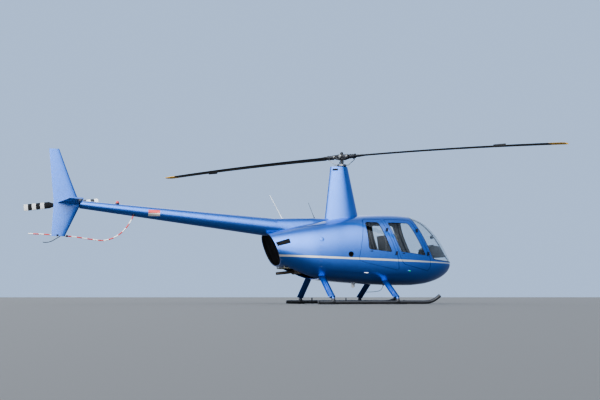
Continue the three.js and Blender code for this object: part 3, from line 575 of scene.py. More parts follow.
outer = body(0)
inner = body(wall)
shell = minus(outer, inner)
print("shell", len(shell.polygons), "faces")

# %% [markdown]
# The doors, windows and seams in side view, in the same places as the CAD part's. The
# windshield wraps over the nose, and its lower edge follows the stripe.

# %% Outlines of doors, windows and windshield
def at_mast(rows):
    return [(x / 1000 + mast_x, z / 1000, *(r / 1000 for r in radius)) for x, z, *radius in rows]


front_door = at_mast([(1418, 1800, 60), (1832, 962, 40), (1826, 790, 50), (1762, 708, 40),
    (1172, 850, 140), (1110, 965, 60), (802, 1800, 40)])
front_window = at_mast([(1362, 1735, 70), (1716, 1035, 50), (1105, 1105, 40), (862, 1735, 50)])
rear_door = at_mast([(730, 1800, 40), (1040, 965, 30), (1058, 712, 50), (262, 880, 160), (150, 925, 60),
    (325, 1800, 60)])
rear_window = at_mast([(655, 1735, 50), (905, 1095, 50), (372, 1150, 60), (352, 1735, 60)])
windshield_edge = at_mast([(1440, 2100), (1470, 1850), (1897, 975, 20), (1960, 948), (2700, 882),
    (2700, 2100)])


def seam_line(gap, ahead):
    """Everything ahead of the rear door's rear edge, or behind it."""
    (xa, za, _), (xb, zb, _) = rear_door[4], rear_door[5]
    lean = (xb - xa) / (zb - za)
    foot, head = xa - lean * za + gap, xa + lean * (3 - za) + gap
    end = foot + (5 if ahead else -5)
    return prism([(foot, 0), (end, 0), (end, 3), (head, 3)], -0.9, 0.9)


def both_sides(outline):
    return joined([prism(outline, -0.9, -0.02), prism(outline, 0.02, 0.9)])


cabin = minus(within(shell, seam_line(-door_gap, True)), both_sides(grown(front_door, door_gap)),
    both_sides(grown(rear_door, door_gap)), prism(windshield_edge, -0.9, 0.9))
print("cabin frame", len(cabin.polygons), "faces")

# %% [markdown]
# ## Paint, glass and metal
# A real finish is never one flat colour. Each material below starts from one colour and
# adds slow changes of tone, a roughness that varies, and a fine grain in the bump. All of
# it reads Object coordinates, so it needs no unwrapping and stays still when a door turns.

# %% A finish from one colour
def finish(name, colour, rough=0.4, metal=0.0, coat=0.0, tone=(0.12, 500), grain=None, pattern=None,
        uneven=0.19):
    """A Principled material with slow tone changes, uneven gloss and a fine grain.

    tone is (share of change, size in mm), grain is (depth in mm, size in mm).
    """
    material = bpy.data.materials.new(name)
    material.use_nodes = True
    tree = material.node_tree
    shader = tree.nodes["Principled BSDF"]
    where = node(tree, "TexCoord").outputs["Object"]
    change, size = tone[0], tone[1] / 1000
    darker, lighter = [full([min(1.0, c * share) for c in colour]) for share in (1 - change,
        1 + change)]
    shade = mixed(tree, noise(tree, where, size), darker, lighter)
    if pattern:
        shade = pattern(tree, where, shade)
    gloss = ramp(tree, noise(tree, where, size * 0.3, 6.0), 0.3, 0.7, rough * (1 - uneven),
        min(1.0, rough * (1 + uneven)))
    tree.links.new(shade, shader.inputs["Base Color"])
    tree.links.new(gloss, shader.inputs["Roughness"])
    shader.inputs["Metallic"].default_value = metal
    shader.inputs["Coat Weight"].default_value = coat
    shader.inputs["Coat Roughness"].default_value = 0.06
    if grain:
        relief = noise(tree, where, grain[1] / 1000)
        bump = node(tree, "Bump", {"Height": relief, "Strength": 0.6, "Distance": grain[0] / 1000})
        tree.links.new(bump.outputs[0], shader.inputs["Normal"])
    return material


# %% [markdown]
# The paint is a metallic blue under clear coat. Its flakes are tiny cells whose brightness
# differs, seen only from near. A cream stripe runs along the waist from the rear edge to
# the nose and narrows on its way: a mask on height does it, so it crosses doors and cowls
# without a step.

# %% Blue paint with its stripe, linings and glass
blue = (0.044, 0.128, 0.395)
cream = (0.64, 0.61, 0.56)
stripe_height, stripe_slope = 0.954, -0.0293
stripe_narrows = (mast_x + 1.3, mast_x + 2.5)
stripe_half_widths = (0.021, 0.009)
patch_red = (0.42, 0.03, 0.028)
patch_x, patch_z = (mast_x - 4.205, mast_x - 3.965), (1.775, 1.905)
patch_middle = 1.841


def flakes(tree, where, shade):
    cells = node(tree, "TexVoronoi", {"Vector": where, "Scale": 1400.0})
    spark = ramp(tree, apart(tree, cells.outputs["Color"])[0], 0.0, 1.0, 0.72, 1.5)
    return node(tree, "VectorMath", {0: shade, "Scale": spark}, operation="SCALE").outputs[0]


def striped(tree, where, shade):
    x, _, z = apart(tree, where)
    middle = sums(tree, "MULTIPLY_ADD", x, stripe_slope, stripe_height - stripe_slope * mast_x)
    off = sums(tree, "ABSOLUTE", sums(tree, "SUBTRACT", z, middle))
    half = ramp(tree, x, *stripe_narrows, *stripe_half_widths)
    inside = edge(tree, sums(tree, "SUBTRACT", half, off), 0.0)
    return mixed(tree, inside, flakes(tree, where, shade), full(cream))


def patched(tree, where, shade):
    """A small plain patch on both sides of the boom, red above and cream below."""
    x, _, z = apart(tree, where)
    upper = mixed(tree, edge(tree, z, patch_middle), full(cream), full(patch_red))
    inside = 1.0
    for value, (low, high) in ((x, patch_x), (z, patch_z)):
        inside = sums(tree, "MULTIPLY", inside, sums(tree, "SUBTRACT", edge(tree, value, low),
            edge(tree, value, high)))
    return mixed(tree, inside, flakes(tree, where, shade), upper)


blue_paint, plain_blue, boom_blue = [finish(name, blue, 0.36, 0.9, 1.0, tone=(0.02, 500),
    pattern=pattern, uneven=0.04) for name, pattern in (("blue_paint_striped", striped),
    ("blue_paint_plain", flakes), ("blue_paint_boom", patched))]
lining = finish("cabin_lining", (0.13, 0.128, 0.126), 0.85, tone=(0.2, 80), grain=(0.4, 3))
bay_lining = finish("bay_lining", (0.026, 0.027, 0.03), 0.85, tone=(0.3, 80), grain=(0.4, 3))
black_metal = finish("black_fittings", (0.012, 0.012, 0.013), 0.45, 0.2, tone=(0.3, 50), grain=(0.1, 2))


def clear(name, tint):
    """Glass that lets lamps through, so that the cabin isn't dark."""
    material = bpy.data.materials.new(name)
    material.use_nodes = True
    tree = material.node_tree
    shader = tree.nodes["Principled BSDF"]
    where = node(tree, "TexCoord").outputs["Object"]
    streaks = ramp(tree, noise(tree, where, 0.15, 5.0), 0.45, 0.8, 0.0, 0.05)
    tree.links.new(streaks, shader.inputs["Roughness"])
    for key, value in (("Base Color", full(tint)), ("Transmission Weight", 1.0), ("IOR", 1.45),
            ("Specular IOR Level", 0.3)):
        shader.inputs[key].default_value = value
    through = node(tree, "BsdfTransparent", {0: full(tint)})
    shadow = node(tree, "LightPath").outputs["Is Shadow Ray"]
    both = node(tree, "MixShader", {0: shadow, 1: shader.outputs[0], 2: through.outputs[0]})
    tree.links.new(both.outputs[0], tree.nodes["Material Output"].inputs["Surface"])
    return material


window_glass = clear("window_glass", (0.9, 0.93, 0.94))
print(len(bpy.data.materials), "materials so far")

# %% [markdown]
# ## Cabin skin
# On the real machine the nose, the belly, the posts and the roof are one painted skin with
# door and window openings. The frame's plain nodes for them are separate, and this one
# piece stands for all six. Faces that look inwards get the dark lining.

# %% The cabin skin, and paint outside with lining inside
def lined(mesh):
    """Material 0 on faces that lie on the outer skin or at cut edges, 1 on the inner wall."""
    centres, normals = table_of(mesh.polygons, "center"), table_of(mesh.polygons, "normal")
    inward = np.sum(skin_normal(centres) * normals, axis=1) < -0.5
    mesh.polygons.foreach_set("material_index", inward.astype(int))
    return mesh


cabin_skin = place(lined(polish(cabin)), "cabin_skin", [blue_paint, lining],
    ["cabin_tub", "cabin_roof", "right_centre_post", "left_centre_post", "right_windshield_post",
    "left_windshield_post"])
print("cabin skin", len(cabin_skin.data.polygons), "faces")

# %% [markdown]
# ## Doors and windows
# Each door is the piece of the same shell inside its outline, so that it closes flush. The
# right-hand pieces are cut first and mirrored for the left. A window is a thin pane 8 mm
# under the skin, held by a black rubber strip, as on the real door.

# %% Doors, panes and rubber strips
side_zone = (-0.9, -0.02)
slack = 0.0004


def layer(outside, inside):
    """A thin shell between two depths under the skin."""
    return minus(body(outside), body(inside))


def piece_of(shape, outline, zone=side_zone):
    return within(shape.copy(), prism(outline, *zone))


pane_depths, rubber_depths = (0.008, 0.013), (0.0035, 0.0078)
pane_shell, rubber_shell = layer(*pane_depths), layer(*rubber_depths)
rubber = finish("window_rubber", (0.01, 0.01, 0.011), 0.6, tone=(0.3, 50), grain=(0.1, 1))
door_parts = {"front": (front_door, front_window), "rear": (rear_door, rear_window)}
for end, (outline, window) in door_parts.items():
    panel = minus(piece_of(shell, outline), prism(window, *side_zone))
    pane = piece_of(pane_shell, grown(window, -slack))
    strip = minus(piece_of(rubber_shell, grown(window, -slack)), prism(grown(window, -0.009),
        *side_zone))
    for (side, panel), (_, pane), (_, strip) in zip(sides_of(panel), sides_of(pane), sides_of(strip)):
        door = f"{side}_{end}_door"
        place(lined(polish(panel)), f"{door}_panel", [blue_paint, lining], [door], door)
        place(polish(pane, pane_depths), f"{door}_pane", [window_glass],
            [f"{door}_window"], door)
        put(strip, f"{door}_rubber", rubber, body=door)
print("doors", len(door_parts) * 2)

# %% Windshields with their rubber and the centre strip
strip_half_width = 0.012
front_zone = (-0.9, -0.0123)
front_depths = (0.006, 0.011)
front_edge = grown(windshield_edge, -slack)
front_pane = piece_of(layer(*front_depths), front_edge, front_zone)
for side, pane in sides_of(front_pane):
    place(polish(pane, front_depths), f"{side}_windshield_pane", [window_glass],
        [f"{side}_windshield"])
edge_rubber = minus(piece_of(layer(0.0005, 0.0058), front_edge, front_zone),
    prism(grown(windshield_edge, -0.012), *front_zone))
pair(edge_rubber, "*_windshield_rubber", rubber)
strip = piece_of(layer(0.0, 0.016), front_edge, (-strip_half_width, strip_half_width))
place(polish(strip), "centre_strip", [black_metal], ["windshield_centre_strip"])

# %% [markdown]
# ## Hinges and handles
# A door hangs on two hinges at its slanted front edge. One half is on the post and one on
# the door, and they meet on the joint's own axis, so they stay together at every angle.

# %% Hinges on the joint axes, and the door handles
hinge_heights, hinge_pitch = (1.56, 1.06), 0.0344


def across_box(centre, forward, up, out, length, height, depth, rim=0.0025):
    """A softened box on three directions of its own."""
    mesh = block((-length / 2, -depth / 2, -height / 2), (length / 2, depth / 2, height / 2), rim)
    turn = Matrix((forward, out, up)).transposed().to_4x4()
    return moved(mesh, Matrix.Translation(centre) @ turn)


def hinge_half(joint, height, on_post):
    spot, up = Vector(joint["pos_m"]), Vector(joint["axis"]).normalized()
    if up.z < 0:
        up = -up
    centre = spot + up * ((height - spot.z) / up.z + (hinge_pitch if on_post else 0))
    forward = (forward_way - up * up.x).normalized()
    out = leftward * math.copysign(1, spot.y)
    out = (out - up * out.dot(up) - forward * out.dot(forward)).normalized()
    way = 1 if on_post else -1
    barrel = lathe([(0, 6.5), (1.5, 8.5), (32.5, 8.5), (34, 6.5)], centre - up * 0.017,
        centre + up * 0.017, 20)
    leaf = across_box(centre + forward * way * 0.0155 - out * 0.014, forward, up, out, 0.03, 0.0335,
        0.03)
    screws = [rod(head - out * 0.002, head + out * 0.0022, 0.0032, 12) for head in (centre + forward
        * way * 0.02 + up * lift for lift in (-0.01, 0.01))]
    return plus(barrel, leaf, *screws)


def oval_ring(centre, forward, up, half_length, half_height, sides):
    return [centre + forward * half_length * c + up * half_height * s for c, s in circle(sides)]


def oval(centre, forward, up, out, half_length, half_height, depth, sides=28):
    """A low oval plate with a rounded rim."""
    return loft([oval_ring(centre + out * depth * lift, forward, up, half_length * share,
        half_height * share, sides) for lift, share in ((-1, 1.0), (0.4, 1.0), (0.8, 0.94), (1, 0.8))])


def skin_frame(x, z, side):
    """Place, forward, up and outward directions on the skin."""
    spot = np.array([[x, side * skin_y(x, z), z]])
    out = Vector(skin_normal(spot)[0])
    forward = (forward_way - out * out.x).normalized()
    up = (upward - out * out.z - forward * forward.z).normalized()
    return Vector(spot[0]), forward, up, out


def door_handle(x, z, side):
    spot, forward, up, out = skin_frame(x, z, side)
    plate = oval(spot, forward, up, out, 0.03, 0.011, 0.0022)
    stem = rod(spot + forward * 0.018 - out * 0.004, spot + forward * 0.018 + out * 0.012, 0.0055, 20)
    lever = oval(spot - forward * 0.002 + out * 0.0105, forward, up, out, 0.026, 0.0065, 0.003)
    key = rod(spot - forward * 0.045 - out * 0.003, spot - forward * 0.045 + out * 0.003, 0.007, 20)
    return plus(plate, stem, lever), key


handle_places = {"front": (1.178, 1.072), "rear": (0.44, 1.112)}
for side, sign in (("right", -1), ("left", 1)):
    for end, (x, z) in handle_places.items():
        door = f"{side}_{end}_door"
        for height in hinge_heights:
            for on_post, part, rider in ((False, "hinge", door), (True, "post_hinge", "airframe")):
                put(hinge_half(joints[f"{door}_hinge"], height, on_post),
                    f"{door}_{part}_{height * 100:.0f}", black_metal, body=rider)
        handle, key = door_handle(x + mast_x, z, sign)
        put(handle, f"{door}_handle", black_metal, body=door)
        put(key, f"{door}_lock", black_metal, body=door)
print("hinges and handles for", len(handle_places) * 2, "doors")

# %% [markdown]
# ## Geometry Nodes for what repeats
# Screws, rivets, slats, fins and wires all repeat. A tree of nodes sets one small shape on
# many points, turned the way each point says, and its last nodes make the copies real and
# paint them. One tree puts heads on points; the other lays copies in a row.

# %% Trees: heads on points, and copies in a row
def new_group(name, sizes):
    """An empty tree with its inputs, and the outputs of its input node."""
    group = bpy.data.node_groups.new(name, "GeometryNodeTree")
    for title, kind in (("Geometry", "Geometry"), *sizes, ("Material", "Material")):
        group.interface.new_socket(title, in_out="INPUT", socket_type="NodeSocket" + kind)
    group.interface.new_socket("Geometry", in_out="OUTPUT", socket_type="NodeSocketGeometry")
    return group, group.nodes.new("NodeGroupInput").outputs


def end_group(group, given, points, shape, **turns):
    """Sets the shape on the points, makes the copies real and paints them."""
    copies = node(group, "GeometryNodeInstanceOnPoints", {"Points": points, "Instance": shape, **turns})
    real = node(group, "GeometryNodeRealizeInstances", {0: copies.outputs[0]})
    painted = node(group, "GeometryNodeSetMaterial", {"Geometry": real.outputs[0],
        "Material": given["Material"]})
    group.links.new(painted.outputs[0], group.nodes.new("NodeGroupOutput").inputs[0])


def grow(seed, group, **values):
    """Runs a tree on a seed mesh and gives the result as a plain mesh."""
    holder = as_object(seed, "seed")
    modifier = holder.modifiers.new("nodes", "NODES")
    modifier.node_group = group
    for item in group.interface.items_tree:
        if item.in_out == "INPUT" and item.name.lower() in values:
            modifier[item.identifier] = values[item.name.lower()]
    out = plain_copy(holder)
    bpy.data.objects.remove(holder)
    return out


heads_tree, given = new_group("heads_on_points", [("Radius", "Float"), ("Height", "Float"),
    ("Sides", "Int")])
head = node(heads_tree, "GeometryNodeMeshCone", {"Vertices": given["Sides"], "Radius Top": 0.62,
    "Radius Bottom": 1.0, "Depth": 1.0})
facing = node(heads_tree, "GeometryNodeInputNamedAttribute", {"Name": "facing"},
    data_type="FLOAT_VECTOR")
turn = node(heads_tree, "FunctionNodeAlignRotationToVector", {"Vector": facing.outputs[0]}, axis="Z")
size = node(heads_tree, "CombineXYZ", {"X": given["Radius"], "Y": given["Radius"],
    "Z": given["Height"]})
end_group(heads_tree, given, given["Geometry"], head.outputs[0], Rotation=turn.outputs[0],
    Scale=size.outputs[0])

row_tree, given = new_group("copies_in_a_row", [("Count", "Int"), ("Start", "Vector"),
    ("Step", "Vector")])
line = node(row_tree, "GeometryNodeMeshLine", {"Count": given["Count"],
    "Start Location": given["Start"], "Offset": given["Step"]})
end_group(row_tree, given, line.outputs[0], given["Geometry"])


def heads(spots, radius, height, material, sides=8):
    """Low round heads on (place, outward direction) pairs, sunk a little into the skin."""
    seed = bpy.data.meshes.new("spots")
    seed.from_pydata([tuple(Vector(p) - Vector(n) * height * 0.2) for p, n in spots], [], [])
    store = seed.attributes.new("facing", "FLOAT_VECTOR", "POINT")
    store.data.foreach_set("vector", [c for _, n in spots for c in n])
    return grow(seed, heads_tree, radius=radius, height=height, sides=sides, material=material)


def row(shape, count, start, step, material):
    return grow(shape, row_tree, count=count, start=start, step=step, material=material)


def evenly(line, spacing, start=0.5):
    """Places at an even spacing along a chain of 2-D points."""
    out = []
    for (xa, za), (xb, zb) in zip(line, line[1:]):
        length = math.hypot(xb - xa, zb - za)
        count = max(1, round(length / spacing))
        for k in range(count):
            t = (k + start) / count
            out.append((xa + (xb - xa) * t, za + (zb - za) * t))
    return out


def skin_spots(line, spacing, sides=(-1, 1), lift=0.0):
    """(place, direction) pairs on the skin along a line in side view."""
    spots = []
    for x, z in evenly(line, spacing):
        for side in sides:
            spot, _, _, out = skin_frame(x, z, side)
            spots.append((spot + out * lift, out))
    return spots


print("trees", [group.name for group in bpy.data.node_groups])

# %% [markdown]
# ## Cowls round the engine bay
# Behind the rear doors the shell goes on as cowls: a top cover, a belly tray that is open
# under the engine, and two sides. On each side there is a screwed access panel, a round
# mesh vent, a filler cap, and a slatted air intake under the root of the tail boom.

# %% Cut the cowls and their openings
screen_lean = math.atan(0.4)
seam_width, cowl_gap = 0.0024, 0.0012
top_half, top_low = 0.39, 1.15
belly_half, belly_high = 0.4, 0.9
fit = 0.0003


def rear_plane(z, forward=0.0):
    """Where the leaning plane of the rear opening is at a height, moved ahead by a distance."""
    return mast_x - 1.4 - (z - 0.65) * 0.4 + forward


def boom_radius(x):
    return 0.192 - (mast_x - 1.72 - x) * 0.0296


def boom_height(x):
    return 1.62 + (mast_x - 1.72 - x) * 0.0945


def boom_point(x):
    return Vector((x, 0, boom_height(x)))


boom_start, boom_end = mast_x - 0.52, mast_x - 5.56
boom_length = (boom_point(boom_end) - boom_point(boom_start)).length


def boom_solid(growth, sides):
    ends = (0, boom_radius(boom_start) + growth), (boom_length, boom_radius(boom_end) + growth)
    return turned(ends, boom_point(boom_start), boom_point(boom_end), sides)


def seam_cut(outline):
    ring = minus(prism(grown(outline, seam_width / 2), *side_zone),
        prism(grown(outline, -seam_width / 2), *side_zone))
    return within(seam_depth, ring)


behind_plane = prism([(rear_plane(-0.5), -0.5), (rear_plane(3.0), 3.0), (-4.0, 3.0), (-4.0, -0.5)],
    -1.0, 1.0)
bay = minus(within(shell, seam_line(-door_gap - 0.0005, False)), behind_plane)
boom_hole = boom_solid(0.001, 64)
mast_hole = rod((mast_x, 0, 1.4), (mast_x, 0, 2.2), 0.042, 40)
vent_x, vent_z, vent_radius = mast_x - 0.03, 1.04, 0.05
vent_ring = [(vent_x + vent_radius * c, vent_z + vent_radius * s) for c, s in circle(32)]
intake = at_mast([(-1628, 1272, 12), (-1335, 1360, 12), (-1305, 1258, 12), (-1585, 1184, 12)])
access_panel = at_mast([(-320, 1345, 20), (-342, 1222, 20), (190, 1092, 20), (286, 1560, 30),
    (60, 1480, 30)])
seam_depth = layer(-0.006, 0.0022)
seam_foot, seam_head = Vector((mast_x - 0.69, 0.56)), Vector((mast_x - 0.7, 1.62))
seam_run = (seam_foot - seam_head).normalized() * seam_width / 2
seam_off = Vector((-seam_run.y, seam_run.x))
upright_seam = prism([seam_head + seam_off, seam_foot + seam_off, seam_foot - seam_off,
    seam_head - seam_off], *side_zone)
belly_opening = slab(mast_x - 1.33, mast_x - 0.62, -0.29, 0.29, 0.3, 1.1)
top_cowl = minus(within(bay, slab(-4, 4, cowl_gap - top_half, top_half - cowl_gap, top_low + cowl_gap,
    3)), boom_hole, mast_hole)
belly_cowl = minus(within(bay, slab(-4, 4, cowl_gap - belly_half, belly_half - cowl_gap, 0,
    belly_high - cowl_gap)), belly_opening)
side_cowl = minus(within(bay, slab(-4, 4, -0.9, 0, 0, 3)), slab(-4, 4, -top_half, top_half, top_low, 3),
    slab(-4, 4, -belly_half, belly_half, 0, belly_high), boom_hole, prism(vent_ring, *side_zone),
    prism(intake, *side_zone), seam_cut(access_panel), within(seam_depth, upright_seam))
for name, cowl in (("upper_cowl", top_cowl), ("belly_cowl", belly_cowl),
        *((f"{side}_side_cowl", mesh) for side, mesh in sides_of(side_cowl))):
    place(lined(polish(cowl)), f"{name}_panel", [blue_paint, bay_lining], [name])
print("cowls", len(top_cowl.polygons), len(belly_cowl.polygons), len(side_cowl.polygons), "faces")

# %% Vents, intake slats and fasteners on the cowls
bare_metal = finish("bare_metal", (0.22, 0.225, 0.24), 0.38, 1.0, tone=(0.2, 50), grain=(0.05, 0.8))
screw_metal = finish("screw_heads", (0.3, 0.34, 0.42), 0.35, 0.9, tone=(0.3, 20))
wire_radius, wire_pitch, wire_count = 0.0008, 0.006, 17
slat_count = 6


def washer(rows, centre, out, sides=40):
    """A closed ring: rows of (radius, depth behind the face) in mm, turned round a direction."""
    side = (forward_way - out * out.x).normalized()
    up = out.cross(side)
    points = [centre - out * d / 1000 + (side * c + up * s) * r / 1000 for c, s in circle(sides) for r,
        d in rows]
    count = len(rows)
    faces = []
    for i in range(0, sides * count, count):
        after = (i + count) % (sides * count)
        for j in range(count):
            k = (j + 1) % count
            faces.append((i + j, i + k, after + k, after + j))
    return closed(points, faces)


spot, forward, up, out = skin_frame(vent_x, vent_z, -1)
at_vent = Matrix.Translation(spot) @ Matrix((forward, out, up)).transposed().to_4x4()
level = row(rod((-0.052, 0, 0), (0.052, 0, 0), wire_radius, 6), wire_count, (0, -0.02, -0.048),
    (0, 0, wire_pitch), black_metal)
upright = row(rod((0, 0, -0.052), (0, 0, 0.052), wire_radius, 6), wire_count, (-0.048, -0.0217, 0),
    (wire_pitch, 0, 0), black_metal)
disc = moved(rod((0, -0.03, 0), (0, -0.012, 0), vent_radius - 0.001, 40), at_vent)
vent_mesh = joined([within(moved(wires, at_vent), disc.copy()) for wires in (level, upright)])
collar = washer([(48.5, -1.2), (49, -1.8), (56, -1.8), (56.5, -1.2), (56.5, 0.5), (49.7, 0.5),
    (49.7, 24), (48.5, 24)], spot, out)
slats = []
for k in range(slat_count):
    share = (k + 0.5) / slat_count
    foot = Vector((mast_x - 1.632 + 0.05 * share, 1.272 - 0.084 * share))
    head = Vector((mast_x - 1.33 + 0.026 * share, 1.35 - 0.085 * share))
    rings = []
    for t in np.linspace(0, 1, 9):
        x, z = foot.lerp(head, t)
        y = -skin_y(x, z)
        rings.append([(x, y + dy, z + dz) for dy, dz in ((0.001, -0.006), (0.002, -0.0045),
            (0.02, 0.011), (0.019, 0.0095))])
    slats.append(loft(rings))
intake_back = piece_of(layer(0.022, 0.027), grown(intake, 0.006))
intake_rim = minus(piece_of(layer(-0.0012, 0.01), grown(intake, -0.0002)), prism(grown(intake, -0.0065),
    *side_zone))
spot, forward, up, out = skin_frame(mast_x - 0.655, 1.345, -1)
cap = lathe([(0, 44), (6, 46), (10, 43), (12.5, 36), (13, 4)], spot - out * 0.004, spot + out * 0.009,
    40)
cap = plus(cap, across_box(spot + out * 0.01, forward, up, out, 0.05, 0.011, 0.008, 0.003))
pair(vent_mesh, "*_vent_mesh", black_metal)
pair(collar, "*_vent_collar", black_metal)
pair(joined(slats), "*_intake_slats", black_metal)
pair(intake_rim, "*_intake_rim", plain_blue)
pair(intake_back, "*_intake_back", rubber)
pair(cap, "*_filler_cap", plain_blue)

panel_line = [(x, z) for x, z, _ in grown(access_panel, -0.016)]
screw_lines = [(panel_line + panel_line[:1], 0.105)]
screw_lines += [([(mast_x + x, 1.52), (mast_x + x + 0.01, 0.6)], 0.115) for x in (-0.712, -0.678)]
screw_lines += [([(rear_plane(z, 0.02), z) for z in (0.88, 1.12, 1.26)], 0.06)]
screws = [spot for line, spacing in screw_lines for spot in skin_spots(line, spacing)]
place(heads(screws, 0.0058, 0.002, screw_metal, 10), "cowl_screws")
frame_screws = [spot for line in ([(mast_x + 1.4715, 1.835), (mast_x + 1.8965, 0.962)],
    [(mast_x + 1.955, 0.938), (mast_x + 2.2, 0.915), (mast_x + 2.44, 0.893)])
    for spot in skin_spots(line, 0.075)]
place(heads(frame_screws, 0.0045, 0.0016, screw_metal, 8), "windshield_screws")
print(len(screws) + len(frame_screws), "screws on the skin")

# %% [markdown]
# ## Mast fairing, saddle and tail boom
# The mast stands in a tapered fairing with a round nose and a thin rear edge. Behind it a
# saddle leads into the tail boom, a long cone of thin sheet riveted at ring frames. The
# boom is turned like a lathe part, with a small lap where one sheet runs over the next.

# %% Mast fairing
fairing_low = (1.6, -0.42, 0.42, 0.158)
fairing_high = (2.945, -0.262, 0.128, 0.104)


def fairing_ring(t, inset=0.0, sides=72):
    """A teardrop section, from the foot at 0 to the top at 1."""
    z, rear, front, half = [a + (b - a) * t for a, b in zip(fairing_low, fairing_high)]
    return [Vector((mast_x + front - inset - (front - rear - 4 * inset) * (1 - c) / 2,
        (half - inset) * s * (1.06 + 0.3 * c), z)) for c, s in circle(sides)]


def fairing_solid(inset, extend=0.0, steps=48):
    return loft([fairing_ring(t, inset) for t in np.linspace(-extend, 1 + extend, steps)])


fairing_vent = at_mast([(-225, 2900, 8), (-120, 2900, 8), (-120, 2858, 8), (-232, 2858, 8)])
fairing_seam = within(minus(fairing_solid(-0.004), fairing_solid(0.0015)),
    slab(-4, 4, -1, 1, 2.2785, 2.281))
fairing = minus(fairing_solid(0.0), fairing_solid(0.008, 0.05), body(-0.0004),
    prism(fairing_vent, -0.3, 0.3), fairing_seam)
put(fairing, "mast_fairing_skin", plain_blue, "mast_fairing", sharpest=30)
vent_back = minus(fairing_solid(0.013), fairing_solid(0.016))
put(piece_of(vent_back, grown(fairing_vent, 0.008), (-0.3, 0.3)), "mast_fairing_vent",
    rubber)
rivet_corner, rivets_from = 32, 1.84
fairing_rivets = []
for t in np.linspace(0.04, 0.97, 26):
    ring = fairing_ring(t)
    if ring[0].z >= rivets_from:
        fairing_rivets += [(ring[rivet_corner * side], Vector((-0.25, side, 0)).normalized())
            for side in (1, -1)]
place(heads(fairing_rivets, 0.004, 0.0015, plain_blue), "mast_fairing_rivets")
print("fairing", len(fairing.polygons), "faces", len(fairing_rivets), "rivets")

# %% The saddle between fairing and boom: place, top, half width and bottom of its sections
saddle_rows = [(-0.33, 1.822, 0.15, 1.6), (-0.7, 1.828, 0.205, 1.56), (-1.15, 1.815, 0.222, 1.5),
    (-1.5, 1.801, 0.199, 1.61)]


def saddle_ring(x, top, half, bottom, sides=56):
    turns = [math.pi * i / sides for i in range(sides + 1)]
    return [Vector((x + mast_x, half * math.copysign(abs(math.cos(turn)) ** 0.9, math.cos(turn)),
        bottom + (top - bottom) * max(0.0, math.sin(turn)) ** 0.9)) for turn in turns]


def largest(mesh):
    """Keeps the biggest of a mesh's separate pieces."""
    with edited(mesh) as bm:
        left, best = set(bm.verts), []
        while left:
            heap, group = [left.pop()], []
            while heap:
                v = heap.pop()
                group.append(v)
                linked = {line.other_vert(v) for line in v.link_edges} & left
                left -= linked
                heap += linked
            best = max(best, group, key=len)
        bmesh.ops.delete(bm, geom=list(set(bm.verts) - set(best)), context="VERTS")
    return mesh


saddle_steps = np.interp(np.linspace(0, 3, 25), range(4), [r[0] for r in saddle_rows])
saddle_solid = loft([saddle_ring(x, *between(saddle_rows[::-1], x)) for x in saddle_steps])
saddle = minus(saddle_solid.copy(), body(-fit), boom_hole, fairing_solid(-fit, 0.02))
put(largest(saddle), "boom_saddle", plain_blue, "boom_fairing", sharpest=30)

# %% Tail boom with lapped sheets and rivets
frames_at = [mast_x + x for x in (-1.52, -2.02, -2.52, -3.02, -3.52, -4.02, -4.5, -4.98, -5.38)]
lap = 0.0011
stretch = boom_length / (boom_start - boom_end)
profile = [(0.0, boom_radius(boom_start) - 0.003), (0.002, boom_radius(boom_start))]
for x in frames_at:
    along, radius = (boom_start - x) * stretch, boom_radius(x)
    profile += [(along - 0.0006, radius), (along + 0.0006, radius - lap), (along + 0.03, radius - lap),
        (along + 0.12, boom_radius(x - 0.12) - 0.0002)]
profile += [(boom_length - 0.002, boom_radius(boom_end)), (boom_length, boom_radius(boom_end) - 0.002)]
boom = turned(profile, boom_point(boom_start), boom_point(boom_end), 96)
put(boom, "tail_boom_skin", boom_blue, "tail_boom", sharpest=20)
boom_up = leftward.cross((boom_point(boom_end) - boom_point(boom_start)).normalized())


def boom_surface(x, c, s):
    out = leftward * c + boom_up * s
    return boom_point(x) + out * (boom_radius(x) - 0.0004), out


rivets = [boom_surface(x + 0.011, c, s) for x in frames_at for c, s in circle(36)]
rivets += [boom_surface(x + mast_x, math.cos(turn), math.sin(turn)) for turn in (math.radians(-38),
    math.radians(218)) for x in np.arange(-1.56, -5.5, -0.045)]
place(heads(rivets, 0.0026, 0.0011, plain_blue, 6), "tail_boom_rivets")
print("boom", len(boom.polygons), "faces", len(rivets), "rivets")

# %% [markdown]
# ## Rotor head and main blades
# The two blades hang on a seesaw yoke: one bolt across the mast lets it rock, and one bolt
# at each end lets a blade cone. Everything is drawn with the blades along X and then turned
# to where the rotor is parked. Bolt heads come from the node tree.

# %% Yoke, bolts and blade grips
parked_turn = -52
rotor_turn = Matrix.Translation((mast_x, 0, 0)) @ Matrix.Rotation(math.radians(parked_turn), 4, "Z")
rotor_radius = 5.03
ends = (-1, 1)
head_paint = finish("rotor_head_grey", (0.045, 0.046, 0.05), 0.42, 0.5, tone=(0.25, 60),
    grain=(0.15, 1.2))
bright_metal = finish("plated_steel", (0.34, 0.335, 0.32), 0.3, 1.0, tone=(0.2, 30))


def softened(mesh, width=0.003, sharper=35):
    """Bevels the sharp edges of a mesh."""
    holder = as_object(mesh, "holder")
    bevel = holder.modifiers.new("bevel", "BEVEL")
    bevel.width, bevel.segments, bevel.angle_limit = width, 2, math.radians(sharper)
    out = plain_copy(holder)
    bpy.data.objects.remove(holder)
    return out


